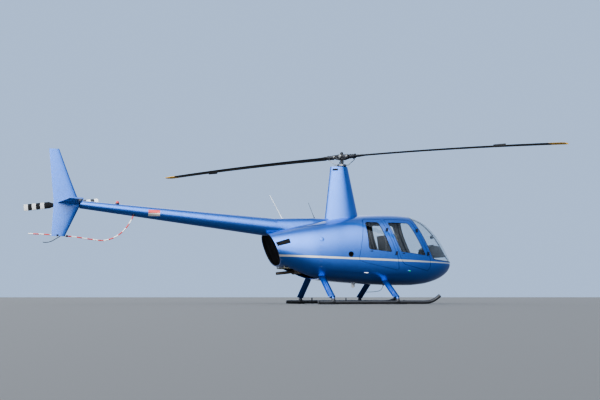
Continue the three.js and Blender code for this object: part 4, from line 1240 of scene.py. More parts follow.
def hex_bolt(start, end, shank, head_radius, head_height):
    """A bolt from start to end, with a hexagon head at each end on a washer."""
    start, end = Vector(start), Vector(end)
    way = (end - start).normalized()
    parts = [rod(start, end, shank, 20)]
    for spot, out in ((start, -way), (end, way)):
        parts.append(turned([(0, head_radius * 1.2), (0.0025, head_radius * 1.2)], spot - out * 0.0005,
            spot + out * 0.002, 24))
        parts.append(turned([(0, head_radius), (head_height * 0.8, head_radius),
            (head_height, head_radius * 0.86)], spot + out * 0.001, spot + out * (0.001 + head_height),
            6))
    return plus(*parts)


def at_hub(rows, way=1):
    """An outline in mm from the hub's middle, towards one end."""
    return [(way * x / 1000, hub_z + z / 1000, *(r / 1000 for r in radius)) for x, z, *radius in rows]


def on_rotor(meshes, name, material, stands_for=None):
    return put(moved(joined(meshes), rotor_turn), name, material, stands_for, "main_rotor")


yoke = prism(at_hub([(196, -32, 12), (196, 44, 14), (90, 44, 20), (60, 52, 20), (-60, 52, 20),
    (-90, 44, 20), (-196, 44, 14), (-196, -32, 12), (-70, -68, 20), (70, -68, 20)]), -0.056, 0.056)
fork_gap = [(118, -90), (230, -90), (230, 90), (118, 90)]
pocket = [(35, -50, 8), (35, -12, 8), (95, -6, 8), (80, -46, 8)]
for x in ends:
    yoke = minus(yoke, prism(at_hub(fork_gap, x), -0.027, 0.027),
        *(prism(at_hub(pocket, x), *depths) for depths in ((-0.07, -0.046), (0.046, 0.07))))
tongue = [(124, -30, 12), (124, 38, 12), (212, 30, 10), (212, -30, 10)]
bolts = [hex_bolt((0, -0.074, hub_z + 0.008), (0, 0.074, hub_z + 0.008), 0.024, 0.031, 0.016)]
bolts += [hex_bolt((x * 0.158, -0.07, hub_z + 0.006), (x * 0.158, 0.07, hub_z + 0.006), 0.017, 0.022,
    0.012) for x in ends]
shaft = [lathe([(0, 30), (10, 34), (36, 34), (40, 28), (50, 26), (58, 17), (60, 4)],
    (0, 0, hub_z + 0.05), (0, 0, hub_z + 0.11), 36), rod((0, 0, 2.965), (0, 0, hub_z - 0.05), 0.027,
    36)]
shaft += [lathe([(0, 42), (4, 44), (14, 44), (18, 36)], (0, y * 0.056, hub_z + 0.008),
    (0, y * 0.074, hub_z + 0.008), 40) for y in ends]
on_rotor([softened(yoke, 0.003)], "rotor_yoke", head_paint, "rotor_hub")
on_rotor(bolts, "rotor_bolts", bright_metal)
on_rotor(shaft, "rotor_shaft_and_crown", head_paint)
on_rotor([softened(prism(at_hub(tongue, x), -0.0255, 0.0255), 0.002) for x in ends], "rotor_tongues",
    head_paint)

# %% [markdown]
# A blade is a loft through sections: a round grip, a root that spreads out, and then one
# constant airfoil that twists and droops to the tip. The paint is matt black with a yellow
# tip, and the distance from the mast decides where the yellow begins.

# %% Main blades
def wing_ring(nose, along, thick, chord, thickness, count=26):
    """A closed symmetric airfoil, from the trailing edge over the nose and back."""
    half = [0.5 * (1 - math.cos(math.pi * i / count)) for i in range(count + 1)]

    def height(c):
        return 5 * thickness / chord * (0.2969 * math.sqrt(c) - 0.126 * c - 0.3516 * c ** 2 + 0.2843
            * c ** 3 - 0.1036 * c ** 4) + 0.004 * min(1, c * 20)
    outline = [(c, height(c)) for c in half[::-1]] + [(c, -height(c)) for c in half[1:]]
    return [nose + along * c * chord + thick * h * chord for c, h in outline]


full_chord, blade_droop = 0.262, 0.13
blade_rows = [(0.33, 0.11, 0.066, 6), (0.4, 0.15, 0.052, 6), (0.52, full_chord, 0.036, 5.5),
    (1.5, full_chord, 0.031, 4.4), (2.7, full_chord, 0.03, 3), (3.9, full_chord, 0.029, 1.5),
    (4.97, full_chord, 0.028, 0.3), (5.03, 0.236, 0.022, 0.2)]


def blade_frame(radius):
    """Nose, directions, chord and thickness of the blade at a radius."""
    chord, thickness, angle = between(blade_rows, radius)
    angle = math.radians(angle)
    along = Vector((0, -math.cos(angle), -math.sin(angle)))
    thick = Vector((0, -math.sin(angle), math.cos(angle)))
    ahead = min(0.5 * chord, full_chord * 0.25)
    drop = blade_droop * (radius / rotor_radius) ** 2
    return Vector((radius, 0, hub_z - drop)) - along * ahead, along, thick, chord, thickness


def root_ring(radius):
    *frame_of_blade, thickness = blade_frame(radius)
    return wing_ring(*frame_of_blade, thickness * 1.16)


radii = [0.33, 0.35, 0.375, 0.4, 0.43, 0.46, 0.49, 0.52, 0.56, *np.linspace(0.65, 4.9, 36), 4.97, 4.99,
    5.01, 5.022, 5.03]
blade_solid = loft([wing_ring(*blade_frame(r)) for r in radii])
root_plate = loft([root_ring(r) for r in (0.405, 0.43, 0.46, 0.49, 0.52, 0.555)])
nose, along, thick, chord, _ = blade_frame(3.75)
tab = across_box(nose + along * (chord + 0.018), forward_way, thick, along, 0.26, 0.044, 0.0016, 0.0004)
blade = joined([plus(blade_solid, root_plate), tab])
grip = lathe([(0, 36), (3, 46), (12, 50), (30, 50), (34, 45), (70, 43), (74, 47), (90, 47), (94, 43),
    (120, 44), (126, 50), (142, 50), (148, 40)], (0.2045, 0, hub_z), (0.352, 0, hub_z), 48)
horn_way = Vector((0, 0.112, -0.036)).normalized()
horn_foot = Vector((0.25, 0, hub_z - 0.004))
horn = loft([ring_about(horn_foot + horn_way * d, horn_way, r, 20, flat, forward_way) for d, r,
    flat in ((0.03, 0.03, 0.6), (0.06, 0.022, 0.7), (0.095, 0.014, 0.9), (0.118, 0.0135, 1))])
horn_bolt = hex_bolt((0.25, 0.112, hub_z - 0.056), (0.25, 0.112, hub_z - 0.026), 0.007, 0.0095, 0.006)
grip = plus(grip, horn, horn_bolt)
grip_bolts = [(Vector((0.3405, 0.0465 * c, hub_z + 0.0465 * s)), forward_way) for c, s in circle(10)]
plate_bolts = []
for r in (0.43, 0.46, 0.49, 0.52):
    nose, along, thick, chord, thickness = blade_frame(r)
    plate_bolts += [(nose + along * share * chord + thick * side * (thickness * 0.57), thick * side)
        for share, side in ((0.22, 1), (0.22, -1), (0.45, 1), (0.45, -1))]


def distance(tree, first, second, centre):
    """Distance from an axis, for paint that goes by radius."""
    squares = [sums(tree, "POWER", sums(tree, "SUBTRACT", value, middle), 2.0) for value,
        middle in zip((first, second), centre)]
    return sums(tree, "SQRT", sums(tree, "ADD", *squares))


def blade_bands(tree, where, shade):
    x, y, _ = apart(tree, where)
    yellow = mixed(tree, noise(tree, where, 0.03), (0.62, 0.33, 0.03, 1), (0.75, 0.45, 0.06, 1))
    radius = distance(tree, x, y, (mast_x, 0))
    return mixed(tree, edge(tree, radius, rotor_radius - 0.3, 0.001), shade, yellow)


blade_paint = finish("blade_black", (0.014, 0.014, 0.015), 0.5, tone=(0.35, 300), grain=(0.08, 1.5),
    pattern=blade_bands)
for name, degrees in (("a", 0), ("b", 180)):
    turn = rotor_turn @ Matrix.Rotation(math.radians(degrees), 4, "Z")
    put(moved(blade.copy(), turn), f"main_blade_{name}_skin", blade_paint,
        f"main_blade_{name}", "main_rotor", 50)
    put(moved(grip.copy(), turn), f"blade_grip_{name}", head_paint, body="main_rotor")
    for part, spots, radius, height in (("grip", grip_bolts, 0.0042, 0.009),
            ("root", plate_bolts, 0.007, 0.006)):
        spots = [(turn @ spot, turn.to_3x3() @ out) for spot, out in spots]
        place(heads(spots, radius, height, bright_metal, 6), f"{part}_bolts_{name}",
            body="main_rotor")
print("blade", len(blade_solid.polygons), "faces")

# %% Swashplate, scissors, pitch links and mast
plate = lathe([(0, 88), (3, 96), (8, 104), (20, 104), (23, 100), (28, 98)], (mast_x, 0, 2.957),
    (mast_x, 0, 2.985), 64)
plate = minus(plate, rod((mast_x, 0, 2.9), (mast_x, 0, 3.0), 0.0405, 40))
put(plate, "swashplate_fixed", bare_metal, "swashplate")
ring = lathe([(0, 94), (3, 96), (18, 96), (22, 88), (23.4, 80)], (0, 0, 2.9856), (0, 0, 3.009), 64)
links = [minus(ring, rod((0, 0, 2.9), (0, 0, 3.1), 0.045, 40))]
link_end = [(-6, 6), (-2, 11), (10, 11), (14, 5), (26, 5), (28, 8.2), (38, 8.2), (40, 6.4)]
scissors = []
for s in ends:
    root, foot = Vector((s * 0.06, s * 0.05, 2.997)), Vector((s * 0.118, s * 0.088, 2.997))
    top = Vector((s * 0.25, s * 0.112, hub_z - 0.066))
    span = (top - foot).length * 1000
    arm = loft([ring_about(root + (foot - root) * t, foot - root, r, 16) for t,
        r in ((0, 0.012), (1.1, 0.009))])
    upper_end = [(span - d, r) for d, r in link_end[:1:-1]] + [(span + 1, 11), (span + 4, 6)]
    links.append(plus(arm, lathe(link_end + upper_end, foot, top, 20)))
    knee = Vector((-s * 0.1, s * 0.07, 3.06))
    scissors.append(plus(rod((-s * 0.062, s * 0.05, 3.0), knee, 0.0075, 16),
        rod(knee, (-s * 0.02, s * 0.03, 3.112), 0.0075, 16)))
on_rotor(links, "rotor_links", bare_metal, "pitch_links")
on_rotor(scissors, "rotor_scissors", head_paint)
mast_steel = finish("mast_steel", (0.06, 0.062, 0.066), 0.38, 0.8, tone=(0.25, 80))
mast = lathe([(0, 40), (1395, 40), (1400, 42), (1428, 42), (1432, 40), (1438, 38), (1440, 36)],
    (mast_x, 0, 1.56), (mast_x, 0, 3.0), 48)
put(minus(mast, rod((mast_x, 0, 2.87), (mast_x, 0, 3.01), 0.0277, 40)), "mast",
    mast_steel, "mast_tube")
control_rods = []
for turn in (40, 160, 280):
    c, s = math.cos(math.radians(turn)), math.sin(math.radians(turn))
    control_rods.append(rod((mast_x + 0.062 * c, 0.062 * s, 2.6), (mast_x + 0.078 * c, 0.078 * s,
        2.958), 0.007, 16))
put(joined(control_rods), "control_rods", bare_metal)
print("rotor head done")

# %% [markdown]
# ## Engine bay
# Below and behind, the bay is open: one sees a flat six-cylinder engine with finned
# cylinders, a cooling fan, exhaust pipes that run into a drum, and the steel tubes that
# carry it. A black wire screen closes the rear. Fins and wires are copies in a row.

# %% Rear screen of crossed wires
mesh_wire, mesh_pitch, mesh_count = 0.0011, 0.0085, 118
screen_tilt = Matrix.Translation((rear_plane(0.65, 0.035), 0, 0.65)) @ Matrix.Rotation(-screen_lean, 4,
    "Y")
inside_body = body(wall + 0.0005)
inside_hull = body(wall + 0.002)
crossing = row(rod((0, -0.55, 0), (0, 0.55, 0), mesh_wire, 6), mesh_count, (0.0012, 0, -0.1),
    (0, 0, mesh_pitch), black_metal)
standing = row(rod((-0.0012, 0, -0.15), (-0.0012, 0, 0.95), mesh_wire, 6), mesh_count, (0, -0.4972, 0),
    (0, mesh_pitch, 0), black_metal)
wires = [minus(within(moved(mesh, screen_tilt), inside_hull), boom_hole) for mesh in (crossing,
    standing)]
rim = within(moved(block((-0.0052, -0.6, -0.2), (0.0048, 0.6, 1.0), 0.0005), screen_tilt), inside_body)
bars = [block((-0.01, y - 0.007, -0.2), (-0.0028, y + 0.007, 1.0), 0.001) for y in (-0.17, 0.17)]
bars = [minus(within(moved(bar, screen_tilt), inside_body), boom_hole) for bar in bars]
put(joined(wires), "rear_screen_wires", black_metal, "aft_screen")
put(minus(rim, body(wall + 0.026), boom_hole), "rear_screen_rim", black_metal)
put(joined(bars), "rear_screen_bars", black_metal)
print("screen wires", sum(len(mesh.polygons) for mesh in wires), "faces")

# %% Engine case, cylinders and fan
engine_metal = finish("cast_engine_grey", (0.16, 0.16, 0.155), 0.62, 0.5, tone=(0.35, 80),
    grain=(0.6, 3))
fin_metal = finish("cylinder_fins", (0.07, 0.068, 0.065), 0.55, 0.6, tone=(0.3, 30))
truss_paint = finish("truss_paint", (0.15, 0.145, 0.11), 0.55, tone=(0.25, 60), grain=(0.2, 2))
fan_paint = finish("fan_paint", (0.36, 0.35, 0.32), 0.5, 0.2, tone=(0.2, 100), grain=(0.2, 4))
cylinder_rows, cylinder_z, cylinder_shift = (-0.965, -0.785, -0.605), 0.99, 0.012
fin_count, fin_pitch, fin_thickness = 13, 0.0098, 0.0036
vane_count = 22


def here(x, y, z):
    return Vector((x + mast_x, y, z))


def between_corners(x, y, z, half_x, half_y, half_z, rim):
    """A block about its middle."""
    half = Vector((half_x, half_y, half_z))
    return block(here(x, y, z) - half, here(x, y, z) + half, rim)


case = softened(prism(at_mast([(-1100, 860, 30), (-1100, 1110, 40), (-520, 1110, 40), (-480, 1040, 30),
    (-480, 880, 30), (-560, 840, 30)]), -0.125, 0.125), 0.01)
sump = softened(prism(at_mast([(-1000, 862, 10), (-600, 862, 10), (-660, 772, 30), (-960, 772, 30)]),
    -0.095, 0.095), 0.012)
fins, barrels, covers = [], [], []
for y in ends:
    for x in cylinder_rows:
        x += cylinder_shift * y
        fin = lathe([(0, 64), (0.8, 72.5), (2.8, 72.5), (3.6, 64)], (0, 0, 0), (0, fin_thickness, 0),
            32)
        first_fin = y * 0.142 if y > 0 else -0.142 - fin_thickness
        fins.append(row(fin, fin_count, here(x, first_fin, cylinder_z), (0, y * fin_pitch, 0),
            fin_metal))
        barrels.append(rod(here(x, y * 0.115, cylinder_z), here(x, y * 0.272, cylinder_z), 0.06, 28))
        covers.append(softened(between_corners(x, y * 0.287, cylinder_z, 0.07, 0.019, 0.065, 0.01),
            0.004))
        covers.append(between_corners(x, y * 0.316, cylinder_z, 0.05, 0.012, 0.04, 0.009))
put(plus(case, sump), "engine_case", engine_metal, "engine_block")
put(joined(barrels), "engine_barrels", fin_metal)
put(joined(fins), "engine_fins", fin_metal)
put(joined(covers), "rocker_covers", engine_metal)
scroll = washer([(205, -40), (222, -36), (228, 0), (228, 50), (150, 60), (150, 55), (220, 45),
    (220, -30), (205, -36)], Vector((0, 0, 0)), -leftward, 64)
disc = lathe([(0, 30), (2, 55), (12, 60), (16, 200), (20, 200), (24, 62), (40, 50), (46, 20)],
    (0, -0.01, 0), (0, 0.04, 0), 48)
vane = loft([[(r, -0.03, -0.001), (r, -0.03, 0.001), (r, 0.012, 0.014), (r, 0.012, 0.012)]
    for r in (0.12, 0.15, 0.198)])
vanes = [moved(vane.copy(), Matrix.Rotation(2 * math.pi * k / vane_count, 4, "Y"))
    for k in range(vane_count)]
face_aft = Matrix.Translation(here(-1.1, 0, 0.998)) @ Matrix.Rotation(math.radians(-90), 4, "Z")
for mesh, name, material in ((scroll, "fan_scroll", fan_paint), (disc, "fan_disc", engine_metal),
        (joined(vanes), "fan_vanes", engine_metal)):
    put(moved(mesh, face_aft), name, material)
print("cylinders", len(barrels), "fins", len(fins) * fin_count)

# %% Truss: (x, share of the half width, z) of both ends in mm, radius in mm and sides
truss_half = 240
truss_rows = [(-450, 1, 850, 39.5, 1, 850, 16, 20), (-450, 1, 1150, 39.5, 1, 1150, 16, 20),
    (-300, 1, 862, -30, 1, 1138, 10, 16), (-450, 1, 1135, -520, 0.45, 1085, 12, 16),
    (-450, 1, 865, -520, 0.45, 905, 12, 16), (-1520, 1.25, 1405, -1370, 1.1, 745, 11, 16),
    (-1520, 1.25, 1400, -560, 1.4, 1180, 11, 16), (-1370, 1.1, 750, -650, 1.4, 730, 11, 16),
    (-560, 1.4, 1180, -450, 1, 1150, 11, 16), (-650, 1.4, 730, -450, 1, 850, 11, 16)]


def at(x, y, z):
    """A place in mm from the mast."""
    return here(x / 1000, y / 1000, z / 1000)


truss = [rod(at(xa, ya * half, za), at(xb, yb * half, zb), radius / 1000, sides)
    for half in (-truss_half, truss_half) for xa, ya, za, xb, yb, zb, radius, sides in truss_rows]
truss.append(rod(at(-1370, -264, 750), at(-1370, 264, 750), 0.011, 16))
put(joined(truss), "engine_truss", truss_paint)


# %% Exhaust pipes and muffler
def burnt(tree, where, shade):
    brown = mixed(tree, noise(tree, where, 0.05), (0.075, 0.042, 0.026, 1), (0.17, 0.135, 0.1, 1))
    return mixed(tree, noise(tree, where, 0.16), brown, shade)


exhaust_metal = finish("burnt_steel", (0.16, 0.145, 0.13), 0.48, 0.85, tone=(0.3, 50), grain=(0.2, 2),
    pattern=burnt)
drum_half = [(0, 40), (4, 58), (12, 65.5), (20, 66.5), (26, 64.5)]
drum = lathe(drum_half + [(500 - d, r) for d, r in drum_half[::-1]], at(-1020, -250, 690),
    at(-1020, 250, 690), 48)
straps = [lathe([(0, 65), (1, 67.2), (21, 67.2), (22, 65)], at(-1020, y - 11, 690),
    at(-1020, y + 11, 690), 48) for y in (-100, 60)]
pipe_line = [at(-1040, 120, 690), at(-1150, 120, 672), at(-1290, 120, 655), at(-1440, 120, 640)]
tailpipe = minus(tube(pipe_line, 0.03, 30, 32),
    tube([at(-1200, 120, 664.8), pipe_line[2], at(-1460, 120, 637.5)], 0.0272, 24, 32))
runs = []
for y in ends:
    pipe = tube([at(-590, y * 235, 845), at(-750, y * 235, 820), at(-930, y * 225, 800),
        at(-1010, y * 180, 770), at(-1020, y * 150, 700)], 0.022, 30, 24)
    for x in cylinder_rows:
        stub = [here(x + cylinder_shift * y, y * 0.245, 0.945), here(x + cylinder_shift * y, y * 0.25,
            0.88), here(x - 0.03, y * 0.232, 0.822)]
        pipe = plus(pipe, tube(stub, 0.019, 14, 20))
    runs.append(pipe)
put(plus(drum, *straps), "muffler_drum", exhaust_metal, "exhaust_muffler")
put(tailpipe, "tailpipe", exhaust_metal)
put(joined(runs), "exhaust_pipes", exhaust_metal)
print("exhaust and truss done")

# %% [markdown]
# ## Tail
# The boom ends in a small gearbox. A two-blade rotor turns on its left side, the fin stands
# on its right, and one stabilizer sticks out to the right. A striped guard tube runs below
# the rotor, and a thin skid hangs under the fin.

# %% Gearbox, fin and stabilizer
tail_z, gear_z, gear_x = 1.99, 1.986, -5.893
fin_y, fin_sides = -0.085, 22
fin_rows = [(1.34, -5.845, 0.258, 0.02), (1.93, -5.572, 0.502, 0.044), (2.05, -5.59, 0.486, 0.044),
    (2.5, -5.772, 0.35, 0.032), (3.07, -5.988, 0.19, 0.018)]
fin_heights = sorted({1.34, 1.345, *np.linspace(1.36, 3.05, 40), 1.93, 2.05, 2.5, 3.064, 3.07})
stab_rows = [(-1.0, -5.582, 0.262, 0.022, 2.018), (-0.07, -5.53, 0.47, 0.038, 2.0)]
rivet_size = (0.0026, 0.0011)


def fin_ring(z, growth=0.0):
    nose_x, chord, thickness = between(fin_rows, z)
    return wing_ring(here(nose_x + growth, fin_y, z), backward, leftward, chord + 2 * growth,
        thickness + 2 * growth, fin_sides)


def fin_solid(growth=0.0):
    return loft([fin_ring(z, growth) for z in fin_heights])


def stab_ring(y):
    nose_x, chord, thickness, z = between(stab_rows, y)
    return wing_ring(here(nose_x, y, z), backward, upward, chord, thickness, fin_sides)


fin = minus(fin_solid(), slab(-5, 5, -0.2, 0, 1.989, 1.9905))
put(fin, "fin_skin", plain_blue, "vertical_fin", sharpest=50)
fin_space = fin_solid(0.0004)
boom_end_space = slab(boom_end - fit, boom_end + 0.4, -0.2, 0.2, 1.6, 2.4)
stabilizer = loft([stab_ring(y) for y in (*np.linspace(-0.07, -0.995, 24), -1.0)])
stabilizer = largest(minus(stabilizer, fin_space, boom_end_space))
put(stabilizer, "stabilizer_skin", plain_blue, "horizontal_stabilizer", sharpest=50)
tail_rivets = []
for z in np.arange(1.38, 3.03, 0.04):
    ring = fin_ring(z)
    for k in (18, 8):
        tail_rivets += [(spot, (0, 1 if spot.y > fin_y else -1, 0)) for spot in (ring[k], ring[-1 - k])]
for y in np.arange(-0.19, -0.98, -0.04):
    tail_rivets += [(stab_ring(y)[k], (0, 0, 1 if k > 0 else -1)) for k in (9, 17, -10, -18)]
place(heads(tail_rivets, *rivet_size, plain_blue, 6), "tail_rivets")
gear_case = lathe([(0, 60), (6, 66), (16, 66), (20, 58), (120, 52), (128, 58), (140, 58), (146, 50),
    (260, 48)], here(-5.5606, 0, gear_z), here(-5.8206, 0, tail_z), 40)
ball = lathe([(0, 30), (10, 52), (24, 62), (100, 62), (112, 54), (124, 40), (164, 38), (168, 34)],
    here(gear_x, 0, tail_z), here(gear_x, 0.168, tail_z), 44)
mount_foot = softened(block(here(-5.945, -0.0615, 1.94), here(-5.7, 0.04, 2.03), 0.006), 0.002)
shaft_hole = rod(here(gear_x, 0.06, tail_z), here(gear_x, 0.2, tail_z), 0.0207, 36)
put(largest(minus(plus(gear_case, ball, mount_foot), shaft_hole, fin_space)), "tail_gearbox_case",
    head_paint, "tail_gearbox")
cooling = row(lathe([(0, 50), (1, 66.5), (3, 66.5), (4, 50)], (0, 0, 0), (0, 0.004, 0), 36), 7,
    here(gear_x, 0.03, tail_z), (0, 0.0105, 0), head_paint)
put(minus(cooling, fin_space), "tail_gearbox_fins", head_paint)
flange_bolts = [(here(-5.576, 0.0605 * c, gear_z + 0.0605 * s), (-1, 0, 0)) for c, s in circle(8)]
place(heads(flange_bolts, 0.0045, 0.006, bright_metal, 6), "tail_gearbox_bolts")
print("fin", len(fin.polygons), "stabilizer", len(stabilizer.polygons), "faces")

# %% Tail rotor with banded blades
tail_turn = Matrix.Translation(tail_hub) @ Matrix.Rotation(math.radians(172), 4, "Y")
pitch_turn = Matrix.Rotation(math.radians(78), 4, "X")
yoke = plus(lathe([(0, 20), (205, 20)], (0, -0.175, 0), (0, 0.03, 0), 36),
    softened(block((-0.093, -0.021, -0.036), (0.093, 0.021, 0.036), 0.006), 0.003),
    lathe([(0, 28), (4, 34), (50, 34), (58, 28), (64, 12)], (0, -0.03, 0), (0, 0.034, 0), 36))
slider = lathe([(0, 26), (3, 30), (12, 30), (16, 26)], (0, -0.076, 0), (0, -0.06, 0), 36)
for s in (1, -1):
    slider = plus(slider, plus(rod((s * 0.02, -0.068, 0), (s * 0.125, -0.066, 0), 0.005, 14),
        rod((s * 0.122, -0.07, 0), (s * 0.122, -0.014, 0), 0.0045, 14)))
bolts = [hex_bolt((s * 0.07, -0.026, 0), (s * 0.07, 0.026, 0), 0.008, 0.011, 0.006) for s in ends]
for mesh, part, material, stands_for in ((yoke, "yoke", head_paint, "tail_rotor_hub"),
        (slider, "slider", bare_metal, None), (joined(bolts), "bolts", bright_metal, None)):
    put(moved(mesh, tail_turn), f"tail_rotor_{part}", material, stands_for,
        "tail_rotor")


def tail_bands(tree, where, shade):
    x, _, z = apart(tree, where)
    radius = distance(tree, x, z, (tail_hub.x, tail_hub.z))
    for start in (0.34, 0.5, 0.655):
        inside = sums(tree, "MULTIPLY", edge(tree, radius, start),
            sums(tree, "SUBTRACT", 1.0, edge(tree, radius, start + 0.08)))
        shade = mixed(tree, inside, shade, (0.62, 0.62, 0.6, 1))
    return shade


tail_blade_paint = finish("tail_blade_bands", (0.014, 0.014, 0.015), 0.45, tone=(0.3, 100),
    grain=(0.06, 1), pattern=tail_bands)
tail_blade_rows = [(0.096, 0.06, 0.03), (0.14, 0.062, 0.027), (0.19, 0.09, 0.02), (0.24, 0.13, 0.015),
    (0.717, 0.13, 0.012), (0.737, 0.1105, 0.009)]
rings = []
for r in (0.096, 0.118, 0.14, 0.158, 0.175, 0.19, 0.207, 0.224, 0.24, *np.linspace(0.27, 0.717, 12),
        0.728, 0.737):
    chord, thickness = between(tail_blade_rows, r)
    rings.append(wing_ring(Vector((r, chord * 0.35, 0)), -leftward, upward, chord, thickness, 18))
tail_blade = moved(loft(rings), pitch_turn)
cuff = lathe([(0, 18), (4, 22), (30, 22), (34, 18)], (0.084, 0, 0), (0.118, 0, 0), 28)
for name, degrees in (("a", 0), ("b", 180)):
    turn = tail_turn @ Matrix.Rotation(math.radians(degrees), 4, "Y")
    put(moved(tail_blade.copy(), turn), f"tail_blade_{name}_skin", tail_blade_paint,
        f"tail_blade_{name}", "tail_rotor", 50)
    put(moved(cuff.copy(), turn), f"tail_blade_cuff_{name}", bare_metal,
        body="tail_rotor")


# %% Guard, tail skid and beacon
def guard_bands(tree, where, shade):
    along = node(tree, "Attribute", attribute_name="along").outputs["Fac"]
    step = sums(tree, "FRACT", sums(tree, "DIVIDE", along, 0.21))
    return mixed(tree, edge(tree, step, 0.52, 0.004), shade, (0.66, 0.64, 0.62, 1))


guard_paint = finish("guard_bands", (0.52, 0.035, 0.03), 0.42, coat=0.3, tone=(0.15, 100),
    grain=(0.05, 2), pattern=guard_bands)
skid_coat = finish("dark_skid_coating", (0.03, 0.031, 0.034), 0.5, 0.3, tone=(0.3, 120), grain=(0.3, 3))
red_lens = finish("red_lens", (0.55, 0.012, 0.015), 0.12, coat=1.0, tone=(0.15, 20))
guard_y = fin_y + 0.026
guard_line = [(-4490, 1800), (-4545, 1680), (-4660, 1505), (-4840, 1352), (-5070, 1272), (-5330, 1290),
    (-5640, 1330), (-6110, 1366), (-6540, 1380)]
tail_skid_line = [(-5925, 1345), (-6010, 1290), (-6110, 1232), (-6200, 1212), (-6262, 1216)]
guard = tube([at(x, guard_y * 1000, z) for x, z in guard_line], 0.012, 120, 20)
put(guard, "guard_tube", guard_paint, "tail_rotor_guard")
boom_space = boom_solid(fit, 96)
collar = minus(rod(here(-4.49, guard_y, 1.775), here(-4.49, guard_y, 1.84), 0.026, 28), boom_space)
clamps = [largest(collar)]
for x, z in ((-5.805, 1.3435), (-5.985, 1.3575)):
    clamps.append(softened(block(here(x - 0.018, fin_y - 0.017, z - 0.018),
        here(x + 0.018, guard_y + 0.017, z + 0.018), 0.004), 0.002))
put(joined(clamps), "guard_clamps", black_metal)
tail_skid = tube([at(x, fin_y * 1000, z) for x, z in tail_skid_line], 0.007, 40, 16)
put(minus(tail_skid, fin_solid(fit)), "tail_skid_rod", skid_coat, "tail_skid")
beacon_x = -4.815
beacon_z = boom_height(beacon_x + mast_x) + boom_radius(beacon_x + mast_x)
base = lathe([(0, 40), (36, 40), (44, 38), (48, 34)], here(beacon_x, 0, beacon_z - 0.03),
    here(beacon_x, 0, beacon_z + 0.018), 40)
lens = lathe([(0, 31.5), (10, 32), (14, 30.5), (18, 31.5), (22, 30), (26, 31), (30, 29.2), (36, 26),
    (41, 20), (44, 11), (45, 2)], here(beacon_x, 0, beacon_z + 0.017),
    here(beacon_x, 0, beacon_z + 0.062), 40)
put(largest(minus(base, boom_space)), "beacon_base", black_metal)
put(lens, "beacon_lens", red_lens, "beacon")
print("tail done")

# %% [markdown]
# ## Landing gear
# Two bent tubes cross the belly and carry a skid on each side. Outside the body each tube
# runs inside a leg with the section of a wing, and a thin flange covers the hole in the
# skin. The flange is cut from a layer just above the skin, so it follows every curve.

# %% Cross tubes, faired legs and their flanges
skid_side, skid_z, skid_radius = 1.09, 0.0422, 0.036
tube_foot_z = skid_z + skid_radius + fit
cross_tubes = {"front": (0.82, 0.52), "rear": (-0.59, 0.585)}
leg_chord, leg_thickness, leg_root, leg_end = 0.145, 0.064, 0.47, 1.134
flange_height = 0.0024


def across(spots):
    """The same (place, direction) pairs on the left side."""
    return [tuple(Vector((v[0], -v[1], v[2])) for v in spot) for spot in spots]


def cross_line(x, top):
    """The tube's line, from the right skid to the left."""
    half = [here(x, -skid_side, tube_foot_z), here(x, -skid_side, tube_foot_z + 0.026),
        here(x, 0.04 - skid_side, tube_foot_z + 0.07), here(x, -leg_root, top - 0.04),
        here(x, 0.11 - leg_root, top), here(x, 0, top)]
    return half + [Vector((p.x, -p.y, p.z)) for p in half[-2::-1]]


def leg_rings(x, top, growth, heights):
    """Wing sections along the tube: heights are (share of the leg, size of the section)."""
    low, high = cross_line(x, top)[2:4]
    thick = (high - low).cross(backward).normalized()
    chord, thickness = leg_chord + 2 * growth, leg_thickness + 2 * growth
    return [wing_ring(low + (high - low) * share - backward * (leg_chord * 0.38 + growth) * size,
        backward, thick, chord * size, thickness * size, 20) for share, size in heights]


def leg_screws(x, top):
    """Screw places on the flange, found by going up the leg until the skin is reached."""
    low_ring, high_ring = leg_rings(x, top, 0.007, [(0.0, 1.0), (1.0, 1.0)])
    spots = []
    for k in range(1, 40, 4):
        reach = np.array([tuple(low_ring[k].lerp(high_ring[k], t)) for t in np.linspace(0.5, 1.3, 500)])
        spot = reach[np.argmax(skin_share(reach) < 1)]
        out = Vector(skin_normal(spot[None])[0])
        spots.append((Vector(spot) + out * flange_height, out))
    return spots


skin_body = body(-0.0004)
flange_layer = layer(-flange_height, 0.003)
flanges, flange_screws = [], []
for end, (x, top) in cross_tubes.items():
    leg = loft(leg_rings(x, top, 0.0, [(0.0, 0.93), (0.006, 1.0), (leg_end, 1.0)]))
    cuff = loft(leg_rings(x, top, 0.0022, [(-0.004, 0.95), (0.002, 1.0), (0.045, 1.0), (0.05, 0.965)]))
    leg = plus(largest(minus(leg, skin_body)), cuff)
    flange = within(flange_layer, loft(leg_rings(x, top, 0.011, [(0.6, 1.0), (leg_end, 1.0)])))
    flanges += [flange, mirrored(flange)]
    flange_screws += leg_screws(x, top)
    put(joined([tube(cross_line(x, top), 0.03, 120, 28), leg, mirrored(leg)]),
        f"{end}_cross_tube_and_legs", plain_blue, f"{end}_cross_tube", sharpest=40)
put(joined(flanges), "leg_flanges", plain_blue)
flange_screws += across(flange_screws)
place(heads(flange_screws, 0.0042, 0.0016, screw_metal), "leg_flange_screws")
print("legs", len(flanges), "flange screws", len(flange_screws))

# %% [markdown]
# A skid is a round tube with a turned-up tip. It has a saddle casting under each leg, a
# wear shoe bolted below, and a short pin for the ground wheels. The dark coating is rubbed
# off along the bottom, so its pattern mixes in bare metal at the lowest few millimetres.

# %% Skids with saddles, shoes and wheel pins
def worn_below(tree, where, shade):
    low = ramp(tree, apart(tree, where)[2], 0.004, 0.02, 0.75, 0.0)
    patchy = sums(tree, "MULTIPLY", low, noise(tree, where, 0.02, 6.0))
    return mixed(tree, patchy, shade, (0.3, 0.29, 0.28, 1))


